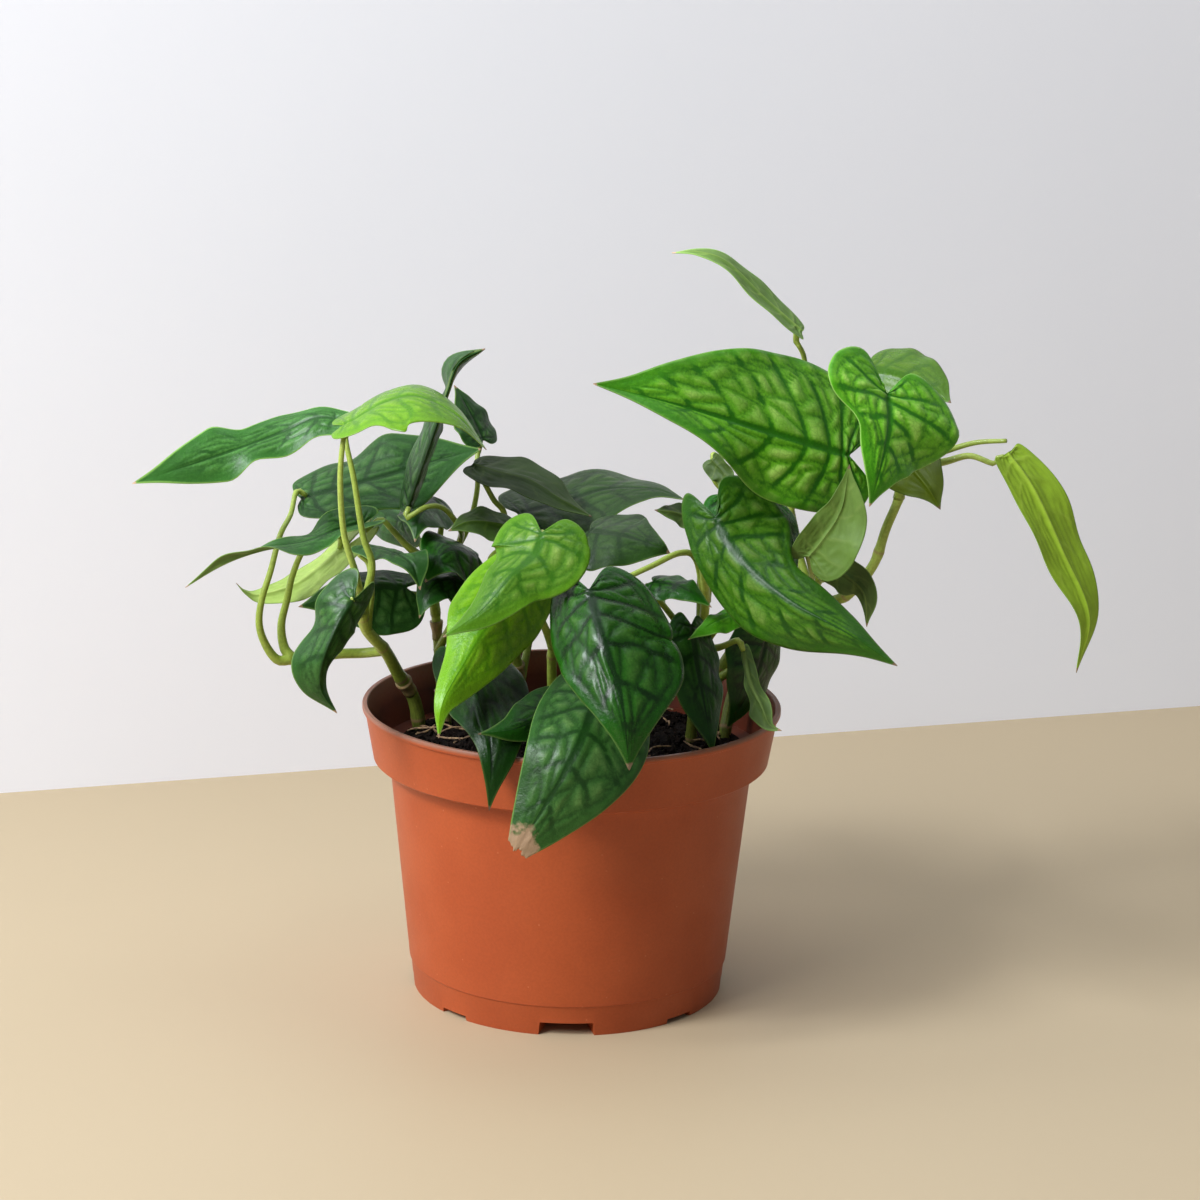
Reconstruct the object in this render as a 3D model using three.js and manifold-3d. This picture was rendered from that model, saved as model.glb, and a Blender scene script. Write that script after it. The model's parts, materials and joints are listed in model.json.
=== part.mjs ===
// Monstera siltepecana in a 15 cm nursery pot. Millimetres, +Z up, the pot's axis upright.
// Every leaf is written as its rib and the places its margins pass, measured on the plant;
// the blade between them comes from one leaf outline.
import * as THREE from 'three';
import { mergeVertices } from 'three/addons/utils/BufferGeometryUtils.js';
import Module from 'manifold-3d';

const wasm = await Module();
wasm.setup();

// Pot
const POT_HEIGHT = 105.5;
const RIM_R = 75;
const COLLAR_HEIGHT = 20;
const COLLAR_FOOT_R = 71;
const WALL_TOP_R = 65.5;
const WALL_FOOT_R = 57.6;
const SKIRT_HEIGHT = 11;
const SKIRT_R = 57.2;
const BASE_R = 56.2;
const POT_WALL = 1.3;
const LIP = 1.8;
const FLOOR_TOP = 6.8;
const POT_SEGMENTS = 48;

// Drainage notches in the foot: tall and low ones by turns
const NOTCH_COUNT = 8;
const NOTCH_INNER_R = 40;
const TALL_NOTCH = { outerWidth: 22, innerWidth: 12, height: 4.8 };
const LOW_NOTCH = { outerWidth: 13, innerWidth: 9, height: 1.8 };

// Soil
const SOIL_EDGE_Z = 88;
const SOIL_MOUND = 4;
const GAP = 0.3;
const HOLE_DEPTH = 12;

// Leaves and stems
const BLADE = 0.8;
const LEAF_ROWS = [0.06, 0.2, 0.32, 0.44, 0.56, 0.68, 0.79, 0.89, 0.96];
const LEAF_COLUMNS = [-1, -0.5, 0, 0.5, 1];
const STEM_SIDES = 5;
const STEM_R = 1.7;
const PETIOLE_FOOT_R = 1.3;
const PETIOLE_TIP_R = 0.8;
const HOLE_R = STEM_R / Math.cos(Math.PI / STEM_SIDES) + 0.6;
const CUP = -0.12;
const WAVE = 1;

// Outline points: along the rib, across, and where the vein of that place leaves the rib
const HEART = [
  [0, 0, 0], [-1, 0.36, 0], [-0.55, 0.8, 0.02], [0.14, 1, 0.07], [0.34, 0.97, 0.19],
  [0.54, 0.76, 0.37], [0.73, 0.45, 0.57], [0.88, 0.17, 0.78], [1, 0, 1],
];
const LANCE = [
  [0, 0, 0], [-1, 0.3, 0], [-0.3, 0.66, 0.02], [0.14, 0.93, 0.07], [0.34, 1, 0.19],
  [0.55, 0.84, 0.37], [0.74, 0.53, 0.57], [0.89, 0.2, 0.78], [1, 0, 1],
];

// Leaves: rib from the petiole to the tip, then [place along the rib, left margin, right margin]
const LEAVES = {
  leaf_01: { form: LANCE, lobe: 0.04,
    rib: [[-80, -20, 210], [-90, -18, 210], [-101, -18, 205], [-115, -22, 200], [-134, -28, 194],
      [-151, -34, 189]],
    across: [[0.14, [-88, -24, 205], [-88, -14, 214]], [0.3, [-99, -25, 199], [-102, -12, 211]],
      [0.44, [-110, -27, 197], [-113, -16, 206]], [0.6, [-126, -30, 187], [-125, -20, 207]]] },
  leaf_02: { form: HEART, lobe: 0.08, cup: -0.2, wave: 0.3,
    rib: [[-78, -42, 212], [-74, -42, 214], [-64, -42, 220], [-53, -42, 222], [-40, -44, 216],
      [-30, -46, 205]],
    across: [[0.14, [-73, -24, 220], [-74, -54, 213]], [0.4, [-59, -24, 226], [-58, -62, 217]]] },
  leaf_03: { form: LANCE, lobe: 0.05,
    rib: [[-59, -4, 175], [-55, -8, 187], [-50, -12, 202], [-45, -10, 218], [-41, -6, 228],
      [-32, -4, 233]],
    across: [[0.3, [-61, 6, 191], [-50, 8, 190]], [0.72, [-47, 2, 218], [-44, 6, 217]],
      [0.86, [-45, 4, 229], [-39, 8, 225]]] },
  leaf_04: { form: LANCE, lobe: 0.03, cup: -0.15,
    rib: [[-98, 14, 175], [-83, 16, 179], [-67, 20, 183], [-50, 24, 188], [-34, 26, 192]],
    across: [[0.3, [-83, 32, 188], [-81, 2, 173]], [0.6, [-62, 34, 198], [-61, 8, 174]]] },
  leaf_05: { form: HEART, lobe: 0.1,
    rib: [[-74, -2, 170], [-82, -8, 169], [-94, -16, 166], [-108, -24, 165], [-120, -28, 161],
      [-134, -30, 152]],
    across: [[0.14, [-83, -14, 168], [-82, -2, 176]], [0.27, [-90, -20, 164], [-90, -4, 169]],
      [0.45, [-100, -28, 164], [-101, -16, 167]], [0.62, [-111, -30, 166], [-112, -22, 164]],
      [0.8, [-122, -30, 163], [-122, -26, 160]]] },
  leaf_06: { form: HEART, lobe: 0.3,
    rib: [[-83, 16, 157], [-91, 14, 150], [-100, 10, 144], [-112, 6, 141], [-117, 3, 143],
      [-120, 0, 147]],
    across: [[0.3, [-94, 28, 148], [-91, 4, 143]], [0.6, [-107, 14, 144], [-105, 4, 138]]] },
  leaf_07: { form: HEART, lobe: 0.2,
    rib: [[-73, -62, 157], [-78, -66, 149], [-83, -68, 137], [-84, -66, 126], [-79, -62, 117]],
    across: [[0.06, [-64, -42, 155], [-88, -60, 154]], [0.35, [-73, -50, 140], [-92, -60, 138]],
      [0.72, [-82, -60, 125], [-93, -62, 125]]] },
  leaf_08: { form: HEART, lobe: 0.1,
    rib: [[-73, -12, 164], [-63, -18, 163], [-56, -24, 160], [-53, -28, 152]],
    across: [[0.35, [-63, -2, 162], [-65, -26, 162]], [0.7, [-52, -20, 164], [-59, -28, 160]]] },
  leaf_09: { form: HEART, lobe: 0.15,
    rib: [[-60, 10, 144], [-70, 6, 145], [-84, -2, 144], [-97, -10, 141]],
    across: [[0.3, [-70, -4, 130], [-72, 16, 150]]] },
  leaf_10: { form: HEART, lobe: 0.1,
    rib: [[-34, 4, 157], [-42, -4, 162], [-48, -12, 160], [-52, -16, 152]],
    across: [[0.35, [-39, -18, 148], [-45, 12, 165]]] },
  leaf_11: { form: HEART, lobe: 0.1,
    rib: [[-51, 22, 175], [-53, 8, 174], [-55, -4, 172], [-56, -10, 165]],
    across: [[0.3, [-44, 8, 167], [-66, -1, 170]]] },
  leaf_12: { form: HEART, lobe: 0.1,
    rib: [[-22, -8, 170], [-29, -10, 172], [-37, -14, 173], [-44, -18, 171]],
    across: [[0.4, [-31, 0, 174], [-32, -20, 168]]] },
  leaf_13: { form: LANCE, lobe: 0.04,
    rib: [[-36, 0, 191], [-27, -4, 189], [-16, -8, 187], [-5, -12, 181], [6, -14, 176]],
    across: [[0.35, [-23, -14, 184], [-20, 10, 190]]] },
  leaf_14: { form: HEART, lobe: 0.06,
    rib: [[-20, 4, 173], [-5, 8, 176], [10, 10, 181], [27, 8, 182], [39, 4, 179]],
    across: [[0.4, [8, 30, 189], [5, -10, 170]], [0.7, [23, 24, 183], [23, -4, 179]]] },
  leaf_15: { form: HEART, lobe: 0.1,
    rib: [[5, -22, 173], [17, -30, 173], [28, -32, 170], [33, -30, 167]],
    across: [[0.3, [21, -8, 178], [9, -40, 164]]] },
  leaf_16: { form: HEART, lobe: 0.1,
    rib: [[45, 10, 169], [37, 6, 173], [28, 0, 176]],
    across: [[0.4, [38, 14, 174], [36, 2, 170]]] },
  leaf_17: { form: HEART, lobe: 0.14,
    rib: [[-11, -54, 179], [-13, -60, 173], [-21, -68, 167], [-31, -74, 156], [-43, -78, 148]],
    across: [[0.08, [6, -56, 175], [-28, -50, 176]], [0.4, [-9, -68, 162], [-31, -62, 166]]] },
  leaf_18: { form: HEART, lobe: 0.18,
    rib: [[5, -68, 163], [9, -84, 152], [14, -92, 139], [17, -98, 127], [19, -100, 110]],
    across: [[0.3, [35, -74, 147], [-8, -74, 145]], [0.6, [37, -84, 134], [3, -92, 131]]] },
  leaf_19: { form: HEART, lobe: 0.16,
    rib: [[47, -52, 185], [51, -58, 178], [60, -67, 169], [73, -77, 161], [89, -85, 154],
      [106, -90, 144]],
    across: [[0.08, [70, -44, 189], [38, -50, 173]], [0.4, [69, -58, 175], [53, -62, 151]],
      [0.7, [87, -74, 161], [77, -76, 147]]] },
  leaf_20: { form: HEART, lobe: 0.1,
    rib: [[52, -28, 188], [61, -34, 184], [71, -38, 174], [76, -40, 159]],
    across: [[0.35, [70, -20, 188], [55, -42, 176]]] },
  leaf_21: { form: HEART, lobe: 0.1,
    rib: [[93, -34, 203], [71, -46, 211], [48, -56, 219], [27, -64, 226], [5, -70, 232]],
    across: [[0.28, [61, -60, 194], [74, -26, 237]], [0.7, [28, -72, 221], [26, -56, 241]]] },
  leaf_22: { form: HEART, lobe: 0.3,
    rib: [[102, -60, 229], [102, -70, 220], [99, -80, 209], [95, -86, 196]],
    across: [[0.04, [129, -44, 224], [83, -68, 244]], [0.5, [113, -62, 210], [92, -80, 220]]] },
  leaf_23: { form: HEART, lobe: 0.1,
    rib: [[102, -6, 229], [111, -12, 228], [121, -18, 225], [128, -24, 220]],
    across: [[0.35, [116, 4, 236], [112, -20, 216]]] },
  leaf_24: { form: HEART, lobe: 0.1,
    rib: [[79, -52, 172], [83, -54, 178], [89, -55, 189], [91, -55, 204]],
    across: [[0.35, [99, -60, 181], [78, -55, 184]]] },
  leaf_25: { form: HEART, lobe: 0.1,
    rib: [[85, -42, 168], [93, -46, 164], [99, -48, 158], [100, -46, 146]],
    across: [[0.4, [90, -40, 159], [99, -50, 167]]] },
  leaf_26: { form: LANCE, lobe: 0,
    rib: [[147, -30, 204], [156, -34, 192], [166, -38, 172], [176, -40, 150], [173, -42, 130]],
    across: [[0.35, [152, -42, 183], [169, -26, 185]]] },
  leaf_27: { form: LANCE, lobe: 0.02, cup: -0.05, wave: 0.5,
    rib: [[76, -20, 243], [63, -22, 254], [50, -24, 266], [40, -26, 270], [31, -27, 270]],
    across: [[0.35, [67, -12, 254], [61, -30, 253]]] },
  leaf_28: { form: HEART, lobe: 0.05,
    rib: [[48, -2, 195], [53, -6, 189], [51, -10, 180]],
    across: [[0.35, [46, -2, 191], [58, -10, 188]]] },
  leaf_29: { form: HEART, lobe: 0.14,
    rib: [[-38, -40, 132], [-32, -54, 125], [-27, -74, 110], [-27, -80, 89]],
    across: [[0.33, [-14, -50, 122], [-45, -48, 124]], [0.68, [-17, -74, 108], [-31, -76, 107]]] },
  leaf_30: { form: HEART, lobe: 0.1,
    rib: [[-3, -52, 120], [-17, -71, 116], [-31, -81, 116]],
    across: [[0.35, [-14, -73, 109], [-15, -55, 123]]] },
  leaf_31: { form: HEART, lobe: 0.1, end: 0.86,
    rib: [[9, -64, 127], [2, -86, 113], [-9, -92, 94], [-23, -94, 71]],
    across: [[0.33, [22, -86, 103], [-14, -80, 118]]] },
  leaf_32: { form: LANCE, lobe: 0.1,
    rib: [[41, -26, 141], [43, -36, 129], [46, -42, 115], [49, -46, 100]],
    across: [[0.35, [54, -30, 119], [33, -40, 129]]] },
  leaf_33: { form: HEART, lobe: 0.05,
    rib: [[56, -36, 148], [48, -42, 146], [39, -48, 141]],
    across: [[0.4, [49, -46, 142], [48, -38, 148]]] },
  leaf_34: { form: HEART, lobe: 0.1,
    rib: [[27, -34, 158], [37, -42, 158], [47, -46, 152]],
    across: [[0.4, [39, -34, 160], [35, -46, 154]]] },
  leaf_35: { form: LANCE, lobe: 0.05,
    rib: [[60, -20, 131], [62, -30, 122], [66, -40, 115], [68, -46, 111], [72, -50, 110]],
    across: [[0.35, [61, -28, 120], [65, -30, 122]], [0.75, [64, -46, 108], [69, -42, 114]]] },
  leaf_36: { form: HEART, lobe: 0.1,
    rib: [[69, -2, 131], [66, -6, 120], [61, -10, 109], [55, -14, 100]],
    across: [[0.4, [73, 2, 115], [54, -16, 122]]] },
  leaf_37: { form: HEART, lobe: 0.1,
    rib: [[-34, 39, 193], [-37, 41, 199], [-41, 43, 206], [-45, 45, 212]],
    across: [[0.35, [-46, 34, 205], [-31, 49, 199]]] },
  leaf_38: { form: HEART, lobe: 0.1,
    rib: [[-40, -2, 151], [-48, -10, 151], [-52, -14, 146], [-54, -16, 139]],
    across: [[0.35, [-47, -18, 144], [-53, -2, 153]]] },
  leaf_39: { form: HEART, lobe: 0.1,
    rib: [[109, -30, 208], [114, -34, 200], [120, -38, 193], [124, -40, 186]],
    across: [[0.33, [106, -30, 193], [126, -38, 204]]] },
  leaf_40: { form: HEART, lobe: 0.1,
    rib: [[-16, -44, 163], [-27, -58, 151], [-37, -70, 136], [-43, -78, 125], [-44, -80, 114]],
    across: [[0.3, [-13, -50, 140], [-41, -50, 156]], [0.6, [-28, -66, 129], [-44, -66, 137]]] },
  leaf_41: { form: HEART, lobe: 0.2,
    rib: [[-63, 45, 161], [-75, 60, 163], [-86, 78, 161], [-96, 92, 155]],
    across: [[0.3, [-73, 55, 152], [-67, 70, 169]]] },
  leaf_42: { form: HEART, lobe: 0.2,
    rib: [[-5, 40, 163], [-6, 60, 162], [-6, 85, 155], [-6, 105, 144]],
    across: [[0.3, [-19, 62, 160], [9, 62, 161]]] },
  leaf_43: { form: HEART, lobe: 0.2,
    rib: [[-34, 35, 134], [-39, 55, 135], [-43, 78, 127], [-46, 98, 114]],
    across: [[0.3, [-50, 58, 132], [-26, 66, 128]]] },
  leaf_44: { form: HEART, lobe: 0.2,
    rib: [[17, 35, 135], [20, 58, 133], [23, 82, 124], [26, 100, 107]],
    across: [[0.3, [5, 62, 130], [35, 56, 131]]] },
  leaf_45: { form: HEART, lobe: 0.2,
    rib: [[62, 25, 147], [71, 45, 147], [80, 68, 138], [88, 88, 123]],
    across: [[0.3, [61, 60, 140], [80, 38, 143]]] },
  leaf_46: { form: HEART, lobe: 0.2,
    rib: [[71, 15, 199], [66, 35, 201], [61, 60, 199], [58, 85, 192]],
    across: [[0.3, [53, 30, 199], [81, 55, 200]]] },
  leaf_47: { form: HEART, lobe: 0.2,
    rib: [[90, 14, 207], [95, 34, 210], [102, 59, 207], [108, 84, 197]],
    across: [[0.3, [86, 49, 207], [110, 39, 203]]] },
};

// Shoots: each stem from the soil up, and the petioles that leave it, by the leaf they carry
const SHOOTS = {
  shoot_left: {
    stem: [[-56, 22, 93], [-58, 18, 101], [-63, 10, 112], [-67, 0, 123], [-73, -12, 134], [-74, -20, 144]],
    runner: [[-67, 0, 123], [-75, 4, 121], [-84, 2, 121], [-93, 0, 120], [-100, -2, 120]],
    petioles: {
      leaf_01: [[-74, -17, 141], [-71, -24, 153], [-70, -25, 161], [-73, -26, 171], [-76, -26, 190],
        [-79, -23, 203]],
      leaf_02: [[-74, -20, 144], [-74, -40, 159], [-78, -44, 175], [-79, -47, 194], [-78, -46, 208]],
      leaf_04: [[-100, -2, 120], [-105, -4, 120], [-109, -6, 126], [-111, -8, 134], [-110, -8, 143],
        [-107, -6, 153], [-104, -2, 165], [-101, 6, 171]],
      leaf_06: [[-100, -2, 120], [-103, -1, 124], [-104, 0, 132], [-102, 1, 141], [-100, 2, 150],
        [-96, 3, 159], [-89, 6, 165], [-85, 12, 162]],
      leaf_07: [[-74, -17, 141], [-76, -42, 149]],
      leaf_08: [[-73, -12, 134], [-71, -14, 148], [-72, -11, 157]],
    },
  },
  shoot_left_back: {
    stem: [[-46, 24, 92], [-48, 22, 104], [-49, 21, 118], [-50, 20, 132], [-51, 18, 144], [-54, 12, 154]],
    petioles: {
      leaf_05: [[-54, 12, 154], [-60, 8, 160], [-65, 6, 166], [-69, 4, 170]],
      leaf_09: [[-50, 20, 132], [-52, 16, 139]],
      leaf_11: [[-51, 18, 144], [-49, 22, 158], [-48, 25, 170]],
      leaf_03: [[-51, 18, 144], [-44, 18, 154], [-41, 16, 161], [-41, 6, 167], [-46, 0, 175], [-52, -6, 177]],
      leaf_37: [[-51, 18, 144], [-40, 28, 160], [-36, 34, 174], [-36, 38, 186]],
      leaf_38: [[-49, 21, 118], [-42, 8, 136]],
      leaf_43: [[-48, 22, 104], [-38, 28, 121]],
      leaf_41: [[-50, 20, 132], [-55, 38, 149]],
    },
  },
  shoot_middle: {
    stem: [[-16, 30, 91], [-19, 26, 106], [-22, 18, 123], [-26, 10, 140], [-28, 6, 152]],
    petioles: {
      leaf_13: [[-28, 6, 152], [-25, 6, 171], [-29, 4, 178], [-34, 2, 187]],
      leaf_14: [[-28, 6, 152], [-24, 6, 163]],
      leaf_12: [[-26, 10, 140], [-30, 2, 156]],
      leaf_10: [[-22, 18, 123], [-29, 8, 148]],
      leaf_15: [[-22, 18, 123], [-5, 0, 148], [2, -16, 161]],
      leaf_42: [[-19, 26, 106], [-11, 36, 142]],
      leaf_44: [[-16, 30, 91], [6, 34, 112]],
    },
  },
  shoot_front: {
    stem: [[-5, 0, 93], [-6, -3, 103], [-7, -12, 113], [-7, -24, 132], [-4, -34, 150]],
    petioles: {
      leaf_17: [[-4, -34, 150], [-5, -42, 166]],
      leaf_40: [[-7, -24, 132], [-13, -34, 149]],
      leaf_29: [[-6, -3, 103], [-28, -30, 120]],
      leaf_30: [[-7, -12, 113], [-4, -34, 118]],
      leaf_31: [[-6, -3, 103], [4, -44, 125]],
    },
  },
  shoot_right_front: {
    stem: [[43, 4, 92], [44, 0, 107], [45, -8, 127], [46, -20, 148], [44, -34, 166]],
    petioles: {
      leaf_19: [[44, -34, 166], [44, -40, 177]],
      leaf_18: [[46, -20, 148], [42, -30, 165], [36, -38, 169], [26, -46, 166], [14, -54, 162]],
      leaf_20: [[46, -20, 148], [49, -22, 170]],
      leaf_34: [[45, -8, 127], [27, -22, 152]],
      leaf_32: [[44, 0, 107], [41, -16, 129]],
      leaf_33: [[45, -8, 127], [51, -24, 140]],
      leaf_16: [[45, -8, 127], [45, 6, 149]],
      leaf_35: [[45, -8, 127], [52, -14, 130]],
    },
  },
  shoot_right: {
    stem: [[48, 32, 92], [52, 30, 105], [63, 24, 126], [73, 14, 139], [84, 4, 147], [87, -4, 155],
      [90, -14, 176], [90, -22, 189]],
    petioles: {
      leaf_21: [[90, -14, 176], [93, -26, 193]],
      leaf_24: [[84, 4, 147], [82, -30, 160]],
      leaf_25: [[87, -4, 155], [86, -30, 159]],
      leaf_27: [[84, 4, 147], [79, 10, 164], [77, 8, 174], [79, 2, 202], [79, -8, 221], [78, -14, 233],
        [75, -18, 239]],
      leaf_28: [[79, 10, 164], [58, 4, 179], [49, 0, 187]],
      leaf_46: [[79, 10, 164], [75, 12, 185]],
      leaf_47: [[90, -14, 176], [89, 4, 194]],
      leaf_45: [[63, 24, 126], [64, 26, 136]],
      leaf_36: [[52, 30, 105], [66, 12, 122]],
    },
  },
  shoot_far_right: {
    stem: [[56, 16, 93], [60, 20, 107], [72, 15, 127], [82, -2, 142], [95, -14, 149], [104, -18, 161],
      [108, -20, 175], [112, -20, 186], [114, -20, 197]],
    petioles: {
      leaf_39: [[112, -20, 186], [112, -24, 196]],
      leaf_22: [[114, -20, 197], [112, -24, 208], [107, -38, 219]],
      leaf_23: [[114, -20, 197], [110, -12, 212]],
      leaf_26: [[114, -20, 197], [126, -22, 199], [135, -25, 202], [143, -28, 200]],
    },
    tendril: [[114, -20, 197], [126, -20, 202], [137, -22, 206], [147, -28, 208]],
  },
};

const vec = (p) => new THREE.Vector3(...p);

function catmull(points, t) {
  const n = points.length - 1;
  const k = Math.min(Math.max(t, 0), 1) * n;
  const i = Math.min(Math.floor(k), n - 1);
  const w = k - i;
  const at = (j) => {
    if (j < 0) return points[0].map((v, c) => 2 * v - points[1][c]);
    if (j > n) return points[n].map((v, c) => 2 * v - points[n - 1][c]);
    return points[j];
  };
  const [a, b, c, d] = [at(i - 1), at(i), at(i + 1), at(i + 2)];
  return b.map((v, m) => {
    const v0 = (c[m] - a[m]) / 2;
    const v1 = (d[m] - b[m]) / 2;
    return (2 * v - 2 * c[m] + v0 + v1) * w ** 3 + (-3 * v + 3 * c[m] - 2 * v0 - v1) * w ** 2 + v0 * w + v;
  });
}

// A curve walked by its length
function ribOf(points) {
  const steps = 200;
  const marks = [0];
  let last = vec(catmull(points, 0));
  for (let i = 1; i <= steps; i += 1) {
    const next = vec(catmull(points, i / steps));
    marks.push(marks[i - 1] + next.distanceTo(last));
    last = next;
  }
  const length = marks[steps];
  const point = (x) => {
    const goal = Math.min(Math.max(x, 0), 1) * length;
    let i = marks.findIndex((m) => m >= goal);
    i = Math.max(i, 1);
    const part = (goal - marks[i - 1]) / (marks[i] - marks[i - 1]);
    return vec(catmull(points, (i - 1 + part) / steps));
  };
  const at = (x) => {
    const clipped = Math.min(Math.max(x, 0), 1);
    const tangent = point(clipped + 0.001).sub(point(clipped - 0.001)).normalize();
    return { place: point(x).addScaledVector(tangent, Math.min(x, 0) * length), tangent };
  };
  return { at, length };
}

function across(direction, tangent) {
  return direction.clone().addScaledVector(tangent, -direction.dot(tangent)).normalize();
}

// How wide the outline is at a place along the rib
function profile(form, place) {
  let last = catmull(form, 0.3);
  for (let t = 0.3; t <= 1; t += 0.00175) {
    const next = catmull(form, t);
    if (next[0] >= place) {
      const part = next[0] === last[0] ? 0 : (place - last[0]) / (next[0] - last[0]);
      return last[1] + (next[1] - last[1]) * Math.max(part, 0);
    }
    last = next;
  }
  return last[1];
}

// One point of a blade: t runs round the outline from sinus to tip, u across from margin to margin
function bladeOf(leaf) {
  const form = leaf.form.map((p, i) => [i === 1 || i === 2 ? p[0] * leaf.lobe : p[0], p[1], p[2]]);
  const rib = ribOf(leaf.rib);
  const stops = leaf.across.map(([s, left, right]) => {
    const { place, tangent } = rib.at(s);
    const sides = [left, right].map((p) => {
      const d = vec(p).sub(place);
      d.addScaledVector(tangent, -d.dot(tangent));
      return { width: d.length() / profile(form, s), direction: d.normalize() };
    });
    return { s, sides };
  });
  const cup = leaf.cup ?? CUP;
  const wave = leaf.wave ?? WAVE;
  const point = (t, u) => {
    const [x, y, g] = catmull(form, t);
    const along = g + (x - g) * Math.abs(u) ** 1.5;
    const { place, tangent } = rib.at(along);
    const s = Math.min(Math.max(along, stops[0].s), stops[stops.length - 1].s);
    let i = 0;
    while (i < stops.length - 2 && s > stops[i + 1].s) i += 1;
    const j = Math.min(i + 1, stops.length - 1);
    const raw = j === i ? 0 : (s - stops[i].s) / (stops[j].s - stops[i].s);
    const w = raw * raw * (3 - 2 * raw);
    const [left, right] = [0, 1].map((k) => ({
      direction: across(stops[i].sides[k].direction.clone().multiplyScalar(1 - w)
        .addScaledVector(stops[j].sides[k].direction, w), tangent),
      width: stops[i].sides[k].width * (1 - w) + stops[j].sides[k].width * w,
    }));
    const normalRight = right.direction.clone().cross(tangent);
    const normalLeft = tangent.clone().cross(left.direction);
    const normal = u > 0 ? normalRight.clone() : normalLeft.clone();
    if (Math.abs(u) < 1e-6) normal.copy(normalLeft).add(normalRight).normalize();
    const side = u < 0 ? left : right;
    const reach = y * Math.abs(u);
    const end = Math.min(Math.max(along, 0), 1);
    const ripple = Math.sin(Math.PI * 5 * along + Math.sign(u) * 0.8) * Math.sin(Math.PI * end);
    return {
      place: place.addScaledVector(side.direction, side.width * reach)
        .addScaledVector(normal, (cup * side.width + wave * ripple) * reach * reach),
      normal,
    };
  };
  return { point, rib };
}

const material = (color, roughness) => new THREE.MeshStandardMaterial({ color, roughness });
const MATERIALS = {
  pot: material('#b5583a', 0.5),
  soil: material('#2a211b', 0.95),
  stem: material('#8a9a45', 0.6),
  leaf: material('#3c6b35', 0.5),
  lime: material('#8cb83a', 0.5),
};
const LIME_LEAVES = ['leaf_02', 'leaf_17', 'leaf_40', 'leaf_26'];

function geometryOf(points, faces) {
  const geometry = new THREE.BufferGeometry();
  geometry.setAttribute('position', new THREE.Float32BufferAttribute(points.flat(), 3));
  geometry.setIndex(faces.flat());
  return geometry;
}

// A blade with an upper and an under face split alike, and a wall round its margin
function leafGeometry(leaf) {
  const blade = bladeOf(leaf);
  const end = leaf.end ?? 1;
  const rows = LEAF_ROWS.map((t) => t * end);
  const columns = LEAF_COLUMNS.length;
  const places = rows.flatMap((t) => LEAF_COLUMNS.map((u) => [t, u]));
  const closed = end < 1;
  if (!closed) places.push([1, 0]);
  const upper = [];
  const under = [];
  places.forEach(([t, u]) => {
    const { place, normal } = blade.point(t, u);
    upper.push(place.clone().addScaledVector(normal, BLADE / 2).toArray());
    under.push(place.clone().addScaledVector(normal, -BLADE / 2).toArray());
  });
  const top = [];
  for (let i = 0; i < rows.length - 1; i += 1) {
    for (let j = 0; j < columns - 1; j += 1) {
      const a = i * columns + j;
      const b = a + columns;
      if (j < (columns - 1) / 2) top.push([a, a + 1, b + 1], [a, b + 1, b]);
      else top.push([a, a + 1, b], [a + 1, b + 1, b]);
    }
  }
  const lastRow = (rows.length - 1) * columns;
  if (!closed) {
    for (let j = 0; j < columns - 1; j += 1) top.push([lastRow + j, lastRow + j + 1, places.length - 1]);
  }
  const rim = [];
  for (let j = 0; j < columns; j += 1) rim.push(j);
  for (let i = 1; i < rows.length; i += 1) rim.push(i * columns + columns - 1);
  if (closed) for (let j = columns - 2; j >= 0; j -= 1) rim.push(lastRow + j);
  else rim.push(places.length - 1, lastRow);
  for (let i = rows.length - 2; i > 0; i -= 1) rim.push(i * columns);
  const shift = places.length;
  const faces = [...top];
  top.forEach(([a, b, c]) => faces.push([a + shift, c + shift, b + shift]));
  rim.forEach((a, i) => {
    const b = rim[(i + 1) % rim.length];
    faces.push([b, a, a + shift], [b, a + shift, b + shift]);
  });
  return outward(geometryOf([...upper, ...under], faces));
}

function volumeOf(geometry) {
  const p = geometry.getAttribute('position');
  const index = geometry.getIndex().array;
  let volume = 0;
  for (let i = 0; i < index.length; i += 3) {
    const [a, b, c] = [0, 1, 2].map((k) => new THREE.Vector3().fromBufferAttribute(p, index[i + k]));
    volume += a.dot(b.cross(c)) / 6;
  }
  return volume;
}

function outward(geometry) {
  if (volumeOf(geometry) > 0) return geometry;
  const index = geometry.getIndex();
  for (let i = 0; i < index.count; i += 3) {
    const b = index.getX(i + 1);
    index.setX(i + 1, index.getX(i + 2));
    index.setX(i + 2, b);
  }
  return geometry;
}

// Where a petiole ends: against the face it comes from, with a gap
function petioleEnd(leaf, radius, from) {
  const blade = bladeOf(leaf);
  const { normal } = blade.point(0, 0);
  const { place, tangent } = blade.rib.at(0.03);
  const side = Math.sign(vec(from).sub(place).dot(normal)) || -1;
  const drop = side * (BLADE / 2 + GAP + radius);
  return {
    end: place.clone().addScaledVector(normal, drop),
    before: place.clone().addScaledVector(normal, drop + side * 2.5).addScaledVector(tangent, -3),
  };
}

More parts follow.
